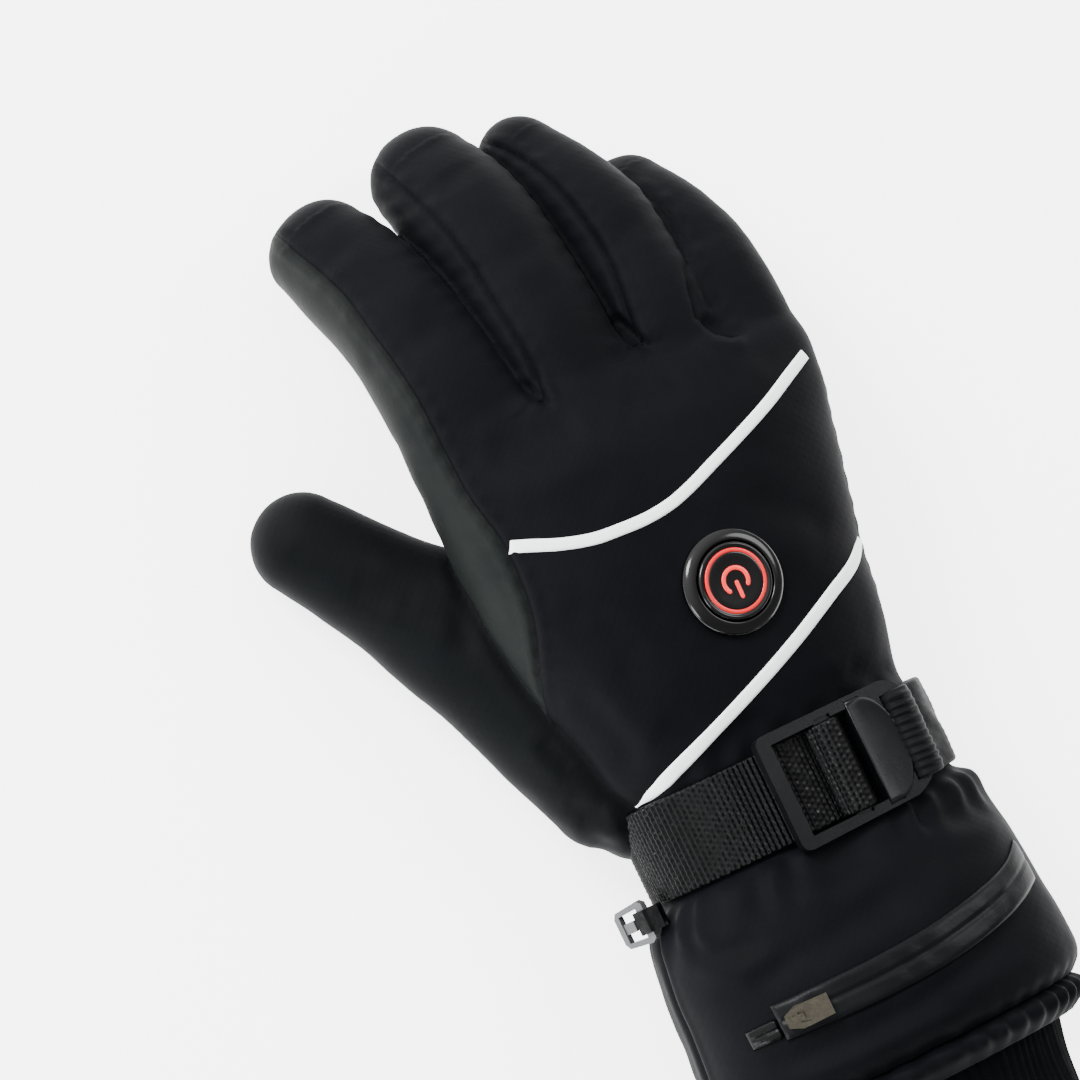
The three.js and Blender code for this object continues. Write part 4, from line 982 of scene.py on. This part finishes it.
# Rays from above find where trims lie on the sewn surface
def tree_of(*pieces):
    points = []
    faces = []
    for piece in pieces:
        base = len(points)
        points.extend([v.co.copy() for v in piece.data.vertices])
        faces.extend([[base + i for i in p.vertices] for p in piece.data.polygons])
    return BVHTree.FromPolygons(points, faces)


hand_tree = tree_of(back_panel, palm_panel)
cuff_tree = tree_of(cuff_panel)


def drop(tree, x, y):
    start = Vector(to_frame([x, y, 120.0]))
    spot = tree.ray_cast(start, Vector((0, 0, -1)))[0]
    return np.array(spot) / MM - FRAME_SHIFT


def smooth_rows(rows, step):
    table = np.array(rows, float)
    flat = table.copy()
    spans = np.linalg.norm(np.diff(flat[:, :2], axis=0), axis=1)
    places = np.concatenate([[0], np.cumsum(spans)])
    wanted = np.linspace(0, places[-1], int(places[-1] / step) + 1)
    return np.stack([monotone(places, table[:, k], wanted) for k in range(table.shape[1])], 1)


def even_out(values, rounds):
    values = np.array(values)
    for _ in range(rounds):
        values[1:-1] = (values[:-2] + 2 * values[1:-1] + values[2:]) / 4
    return values


BESIDE_PIPING = 1.6
PIPING_SUNK = 0.9


def build_piping(name, rows, node_name):
    rows = smooth_rows(rows, 0.9)
    along = np.gradient(rows[:, :2], axis=0)
    along /= np.linalg.norm(along, axis=1)[:, None]
    across = np.stack([-along[:, 1], along[:, 0]], 1)
    middle = np.array([drop(hand_tree, x, y) for x, y in rows[:, :2]])
    middle[:, 2] = even_out(middle[:, 2], 6)
    profile = np.linspace(-1, 1, 9)
    rings = []
    for i, row in enumerate(rows):
        reach = row[2] / 2 + BESIDE_PIPING
        edges = [drop(hand_tree, *(row[:2] + across[i] * s * reach)) for s in (-1, 1)]
        tilt = np.clip((edges[1][2] - edges[0][2]) / 2 / reach, -0.9, 0.9)
        over = [(s * row[2] / 2, 0.25 + 0.5 * (1 - abs(s) ** 4)) for s in profile]
        under = [(s * row[2] / 2, -PIPING_SUNK) for s in profile[::-1]]
        ring = [(*(row[:2] + across[i] * u), middle[i, 2] + u * tilt + w) for u, w in over + under]
        rings.append(ring)
    points, faces = loft(rings, closed_ends=True)
    return new_piece(name, points, faces, "glove", REFLECTIVE, [node_name])


build_piping("reflective_upper", UPPER_PIPING, "piping_upper")
build_piping("reflective_lower", LOWER_PIPING, "piping_lower")


# The lit button
def axis_frame(origin, lean_x, lean_y):
    """Lean about X first, then about Y, as the CAD sets it."""
    turn = Matrix.Rotation(math.radians(lean_x), 3, "X") @ Matrix.Rotation(math.radians(lean_y), 3, "Y")
    return np.array(origin, float), np.array(turn)


def top_height(rows, x, y):
    """Height of the top of a table's sections over a point."""
    mid_x, low, top, half, square = [float(v) for v in across_table(rows, float(y))[:5]]
    share = min(1, abs((x - mid_x) / half))
    return (low + top) / 2 + (top - low) / 2 * (1 - share ** square) ** (1 / square)


BUTTON_ORIGIN, BUTTON_TURN = axis_frame((*BUTTON_AT, 0), BUTTON_LEAN_Y, BUTTON_LEAN_X)
BUTTON_ORIGIN[2] = top_height(HAND_ROWS, *BUTTON_AT)


def placed(points, origin, turn):
    return np.asarray(points, float) @ turn.T + origin


SEGMENTS = 128


def turned(outline):
    angles = np.linspace(0, 2 * np.pi, SEGMENTS, endpoint=False)
    rings = [[(r * math.cos(a), r * math.sin(a), z) for a in angles] for r, z in outline]
    return loft(rings)


def arc_points(centre, radius, start, stop, steps):
    angles = np.radians(np.linspace(start, stop, steps))
    return [(centre[0] + radius * math.cos(a), centre[1] + radius * math.sin(a)) for a in angles]


def button_piece(name, points, faces, body, material, stands_for):
    spots = placed(points, BUTTON_ORIGIN, BUTTON_TURN)
    return new_piece(name, spots, faces, body, material, [stands_for])


def turned_piece(name, outline, body, material, stands_for):
    points, faces = turned(outline + [outline[0]])
    return button_piece(name, points, faces, body, material, stands_for)


bezel_outline = ([(10.9, -4.2), (10.9, 1.25)] + arc_points((11.4, 1.3), 0.5, 180, 80, 7)
                 + [(12.0, 1.74), (12.5, 1.62), (13.0, 1.43), (13.5, 1.16), (13.95, 0.82), (14.3, 0.42)]
                 + [(14.5, -0.05), (14.55, -0.6), (13.9, -1.4), (12.4, -4.2)])
turned_piece("button_bezel_ring", bezel_outline, "glove", GLOSS, "button_bezel")


def capped_turned(name, outline, body, material, stands_for):
    """A body of revolution whose outline starts and ends on the axis."""
    points, faces = turned(outline[1:-1])
    last = (len(outline) - 3) * SEGMENTS
    points = np.vstack([points, [(0, 0, outline[0][1])], [(0, 0, outline[-1][1])]])
    low, high = len(points) - 2, len(points) - 1
    for k in range(SEGMENTS):
        following = (k + 1) % SEGMENTS
        faces.append([low, following, k])
        faces.append([high, last + k, last + following])
    return button_piece(name, points, faces, body, material, stands_for)


cap_outline = ([(0, -3.0), (10.4, -3.0), (10.5, 1.0)] + arc_points((9.7, 1.4), 0.85, 0, 80, 8)
               + [(9.45, 2.2), (9.25, 2.0), (7.9, 1.98), (7.75, 2.16), (7.3, 2.2), (6.0, 2.1), (4.0, 2.0)]
               + [(2.0, 1.95), (0, 1.94)])
capped_turned("button_cap_dome", cap_outline, "button", GLOSS, "button_cap")
ring_outline = [(7.75, 1.6), (8.85, 1.6), (8.85, 2.1), (8.7, 2.26), (8.3, 2.32), (7.9, 2.26), (7.75, 2.1)]
turned_piece("lit_ring", ring_outline, "button", GLOW, "glow_ring")


def stroke(line, width, low, high):
    """A raised line with round ends, from a path in the cap's plane."""
    line = np.array(line, float)
    along = np.gradient(line, axis=0)
    along /= np.linalg.norm(along, axis=1)[:, None]
    across = np.stack([-along[:, 1], along[:, 0]], 1)
    rings = []
    count = len(line)
    lengths = np.concatenate([[0], np.cumsum(np.linalg.norm(np.diff(line, axis=0), axis=1))])
    for i in range(count):
        end = min(lengths[i], lengths[-1] - lengths[i])
        half = width / 2 * math.sqrt(max(0.02, 1 - (1 - min(1, end / (width / 2))) ** 2))
        side = [(-1, low), (-1, high - 0.12), (-0.75, high), (0.75, high), (1, high - 0.12), (1, low)]
        rings.append([(*(line[i] + across[i] * s * half), z) for s, z in side])
    return loft(rings, closed_ends=True)


def fine_line(points, step=0.12):
    points = np.array(points, float)
    lengths = np.concatenate([[0], np.cumsum(np.linalg.norm(np.diff(points, axis=0), axis=1))])
    wanted = np.linspace(0, lengths[-1], max(8, int(lengths[-1] / step)))
    return np.stack([np.interp(wanted, lengths, points[:, k]) for k in (0, 1)], 1)


symbol_line = fine_line(arc_points((0, 0), 3.5, -45, 225, 60))
points, faces = stroke(symbol_line, 1.2, 1.6, 2.32)
button_piece("lit_arc", points, faces, "button", GLOW_HOT, "glow_symbol")
points, faces = stroke(fine_line([(0, -5.1), (0, 0.1)]), 1.15, 1.6, 2.34)
button_piece("lit_bar", points, faces, "button", GLOW_HOT, "glow_bar")


# Straps: bands along a line in the XZ plane, with ribs across them
def wrist_point(angle, out):
    mid_x, low, top, half, square = [float(v) for v in across_table(CUFF_ROWS, -15.0)]
    x = float(super_power(math.cos(angle), square))
    z = float(super_power(math.sin(angle), square))
    return (mid_x + (half + out) * x, (low + top) / 2 + ((top - low) / 2 + out) * z)


BUCKLE_ORIGIN, BUCKLE_TURN = axis_frame(BUCKLE_AT, 0, BUCKLE_LEAN)


def buckle_point(x, z):
    spot = placed([(x, 0, z)], BUCKLE_ORIGIN, BUCKLE_TURN)[0]
    return (spot[0], spot[2])


def even_line(line, step):
    line = np.array(line, float)
    lengths = np.concatenate([[0], np.cumsum(np.linalg.norm(np.diff(line, axis=0), axis=1))])
    wanted = np.linspace(0, lengths[-1], int(lengths[-1] / step) + 1)
    spots = np.stack([monotone(lengths, line[:, k], wanted) for k in (0, 1)], 1)
    return spots, wanted


def band(line, step, thick, mid_y, width, across_steps, relief, edge_round=0.45):
    """A strap with relief on both faces; relief(place along, share across, side) in millimetres."""
    spots, places = even_line(line, step)
    along = np.gradient(spots, axis=0)
    along /= np.linalg.norm(along, axis=1)[:, None]
    normal = np.stack([-along[:, 1], along[:, 0]], 1)
    shares = np.linspace(-1, 1, across_steps)
    rounded = edge_round / width * 4
    rings = []
    for i, place in enumerate(places):
        ring = []
        for side in (1, -1):
            for s in shares[::side]:
                past = max(0, (abs(s) - 1 + rounded) / rounded)
                edge = math.sqrt(max(0.0, 1 - past ** 2))
                out = side * (thick / 2 * edge + relief(place, s, side) * edge)
                spot = spots[i] + normal[i] * out
                ring.append((spot[0], mid_y + s * width / 2, spot[1]))
        rings.append(ring)
    return loft(rings, closed_ends=True)


def build_webbing():
    half = WEBBING_THICK / 2
    round_part = [wrist_point(math.radians(a), WEBBING_OUT) for a in np.linspace(192, 111, 40)]
    over_bar = BUCKLE_THICK - 0.9 + 0.3 + half
    under = -0.5 - half
    spots = [(-16.8, under), (-8.4, under - 0.3), (-6.6, under + 0.2), (-5.9, 0.8), (-5.3, over_bar - 0.3),
             (-3.6, over_bar + 0.25), (-0.6, over_bar + 0.25), (1.1, over_bar - 0.3), (1.7, 0.8), (1.9, -0.6),
             (2.1, -1.9)]
    line = round_part + [buckle_point(x, z) for x, z in spots]

    def relief(place, s, side):
        rib = 0.27 * math.cos(2 * math.pi * place / RIB_PITCH)
        cell = math.floor(place / RIB_PITCH)
        block = 0.11 * math.cos(2 * math.pi * (s * WEBBING_WIDTH / 2 / BLOCK_PITCH + 0.5 * (cell % 2)))
        return rib + block * (1 if side > 0 else 0.6)

    points, faces = band(line, 0.22, WEBBING_THICK - 0.35, WRIST_Y, WEBBING_WIDTH, 73, relief)
    return new_piece("wrist_webbing", points, faces, "glove", WEBBING, ["wrist_strap"])


build_webbing()


def build_anchor():
    round_part = [wrist_point(math.radians(a), 1.5) for a in np.linspace(43, -30, 44)]
    wrap = [(17.2, 0.6), (17.1, 2.9), (17.7, 4.5), (19.4, 4.9), (21.6, 4.6), (23.4, 3.4), (24.4, 1.5)]
    line = [buckle_point(x, z) for x, z in wrap]
    line += [spot for spot in round_part if spot[0] > line[-1][0] + 1.2]

    def relief(place, s, side):
        if side < 0:
            return 0.0
        near = math.exp(-((place - 6.5) / 5.0) ** 2)
        drift = 1.4 * math.sin(s * 2.3 + 0.6) + 0.5 * math.sin(s * 11.0)
        ruffle = math.cos(2 * math.pi * (s * 5.4 + place * 0.05) + drift)
        slack = math.sin(place * 0.5 + 2.0 * s + math.sin(s * 5.0))
        return 0.40 * ruffle * near + 0.22 * slack * (1 - near) + 0.05 * math.cos(s * 40)

    points, faces = band(line, 0.45, ANCHOR_THICK - 0.2, WRIST_Y, ANCHOR_WIDTH, 81, relief, 0.9)
    return new_piece("elastic_anchor", points, faces, "glove", ELASTIC, ["strap_anchor"])


build_anchor()


def build_buckle_flap():
    side = BUCKLE_WIDTH / 2 - 1.6
    reach = [(5.55, -side), (9.4, -side)]
    reach += [(9.4 + 7.9 * math.sin(a), -side * math.cos(a)) for a in np.linspace(0.12, math.pi - 0.12, 40)]
    reach += [(9.4, side), (5.55, side)]
    outline = np.array(reach)
    middle = np.array([10.0, 0.0])
    # share of the outline, height over the buckle's face
    steps = [(1.0, -0.66), (1.0, 0.1), (0.985, 0.32), (0.955, 0.42), (0.90, 0.36), (0.5, 0.22), (0.1, 0.18)]
    rings = []
    for share, rise in steps:
        flat = middle + (outline - middle) * share
        rings.append([(x, y, BUCKLE_THICK + rise) for x, y in flat])
    points, faces = loft(rings, closed_ends=True)
    spots = placed(points, BUCKLE_ORIGIN, BUCKLE_TURN)
    return new_piece("buckle_flap", spots, faces, "glove", PLASTIC)


build_buckle_flap()


# The zipped pocket's coated band with its end tab
def zip_strip(name, rows, node_name, material, lift, thick, step):
    rows = smooth_rows(rows, step)
    shares = np.linspace(0, 1, 19)
    rings = []
    for i, row in enumerate(rows):
        ring = []
        over = []
        for s in shares:
            y = row[1] + (row[2] - row[1]) * s
            spot = drop(cuff_tree, row[0], y)
            base = top_height(CUFF_ROWS, row[0], y)
            crease = 0.5 * math.exp(-((s - 0.52) / 0.05) ** 2)
            wave = math.sin(row[0] * 0.55 + 3.2 * s + 1.3 * math.sin(row[0] * 0.21))
            wrinkle = 0.16 * wave * math.sin(math.pi * s)
            edge = 1 - (abs(2 * s - 1)) ** 10 * 0.75
            height = max(spot[2], base + 0.1) * 0.5 + (base + lift) * 0.5
            over.append((row[0], y, height + (thick - crease + wrinkle) * edge + lift * 0.3))
        under = [(x, y, z - thick - 0.6) for x, y, z in over[::-1]]
        rings.append(over + under)
    points, faces = loft(rings, closed_ends=True)
    return new_piece(name, points, faces, "glove", material, [node_name])


zip_strip("zip_coated_band", ZIP_ROWS, "zip_welt", COATED, 0.3, 1.2, 0.9)
zip_strip("zip_ribbon_tab", ZIP_TAB_ROWS, "zip_end_tab", WEBBING, 0.3, 0.9, 0.6)


# Hard pieces that keep their CAD shape get softened edges and a finish
def soften(node_name, material, width, segments=3):
    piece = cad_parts[node_name]
    piece.data.materials.clear()
    piece.data.materials.append(material)
    edge = piece.modifiers.new("edge", "BEVEL")
    edge.width = width * MM
    edge.segments = segments
    edge.limit_method = "ANGLE"
    edge.angle_limit = math.radians(35)
    edge.harden_normals = True
    piece.data.polygons.foreach_set("use_smooth", np.ones(len(piece.data.polygons), bool))


soften("strap_buckle", PLASTIC, 0.7)
soften("hook_clip", CLIP, 0.4)
soften("clip_loop", WEBBING, 0.15)
soften("zip_slider", NICKEL, 0.28)
soften("zip_pull", NICKEL, 0.22)


# Camera, lights and floor
TILT = 17.0
FORE = 2.0
ROLL = 25.0
LENS = 180.0
SENSOR = 36.0
IMAGE = 1080.0
SHOWN_REF = (14.1, -48.7, 60.0)
REF_PIXEL = (785.0, 785.0)
SCALE = 3.76


def camera_view():
    tilt, fore, roll = (math.radians(v) for v in (TILT, FORE, ROLL))
    back = Vector((-math.sin(tilt) * math.cos(fore), -math.sin(fore), math.cos(tilt) * math.cos(fore)))
    right = (Vector((1, 0, 0)) - back.x * back).normalized()
    up = back.cross(right)
    image_right = math.cos(roll) * right - math.sin(roll) * up
    image_up = math.sin(roll) * right + math.cos(roll) * up
    distance = IMAGE / SCALE * LENS / SENSOR
    dx = (REF_PIXEL[0] - IMAGE / 2) / SCALE
    dy = -(REF_PIXEL[1] - IMAGE / 2) / SCALE
    centre = Vector(SHOWN_REF) - dx * image_right - dy * image_up
    return (centre + back * distance) * MM, image_right, image_up, back


eye, image_right, image_up, back = camera_view()
camera_data = bpy.data.cameras.new("camera")
camera_data.lens = LENS
camera_data.sensor_width = SENSOR
camera = bpy.data.objects.new("camera", camera_data)
bpy.context.scene.collection.objects.link(camera)
camera.matrix_world = Matrix.Translation(eye) @ Matrix((image_right, image_up, back)).transposed().to_4x4()
bpy.context.scene.camera = camera
camera_data.clip_end = 20


def area_light(name, place, target, size, power, colour=(1, 1, 1)):
    data = bpy.data.lights.new(name, "AREA")
    data.shape = "DISK"
    data.size = size
    data.energy = power
    data.color = colour
    light = bpy.data.objects.new(name, data)
    bpy.context.scene.collection.objects.link(light)
    direction = Vector(target) - Vector(place)
    light.matrix_world = Matrix.Translation(place) @ direction.to_track_quat("-Z", "Y").to_matrix().to_4x4()
    return light


CENTRE = (0.0, 0.0, 0.04)
area_light("key", (-0.55, 0.75, 0.95), CENTRE, 0.45, 24.0)
area_light("fill", (0.9, 0.2, 0.9), CENTRE, 0.7, 10.0)
area_light("low_left", (-0.9, -0.35, 0.35), CENTRE, 0.4, 7.0, (0.92, 1.0, 0.98))

world = bpy.data.worlds.new("world")
world.use_nodes = True
bpy.context.scene.world = world


SKY_BRIGHT_SIDE = (-0.45, 0.86, 0.24)
SKY_DIM = 0.55
SKY_BRIGHT = 2.7


def build_sky():
    """A white room that is brighter past the fingertips and dimmer past the cuff."""
    nodes, links = world.node_tree.nodes, world.node_tree.links
    background = nodes["Background"]
    background.inputs["Color"].default_value = (1, 1, 1, 1)
    direction = node(nodes, "ShaderNodeTexCoord").outputs["Generated"]
    toward = node(nodes, "ShaderNodeVectorMath", operation="DOT_PRODUCT")
    toward.inputs[1].default_value = SKY_BRIGHT_SIDE
    links.new(direction, toward.inputs[0])
    ranged = node(nodes, "ShaderNodeMapRange", interpolation_type="SMOOTHSTEP")
    ranged.inputs["From Min"].default_value = -0.3
    ranged.inputs["From Max"].default_value = 0.95
    ranged.inputs["To Min"].default_value = SKY_DIM
    ranged.inputs["To Max"].default_value = SKY_BRIGHT
    links.new(toward.outputs["Value"], ranged.inputs["Value"])
    links.new(ranged.outputs["Result"], background.inputs["Strength"])


build_sky()


FLOOR_GLOW = 3.4


def build_floor():
    bpy.ops.mesh.primitive_plane_add(size=6, location=(0, 0, -0.0004))
    floor = bpy.context.object
    floor.name = "floor"
    material, nodes, links, bsdf = shader("floor_paint", (0.96, 0.96, 0.96), 0.9)
    bsdf.inputs["Emission Color"].default_value = (1, 1, 1, 1)
    bsdf.inputs["Emission Strength"].default_value = FLOOR_GLOW
    floor.data.materials.append(material)


build_floor()
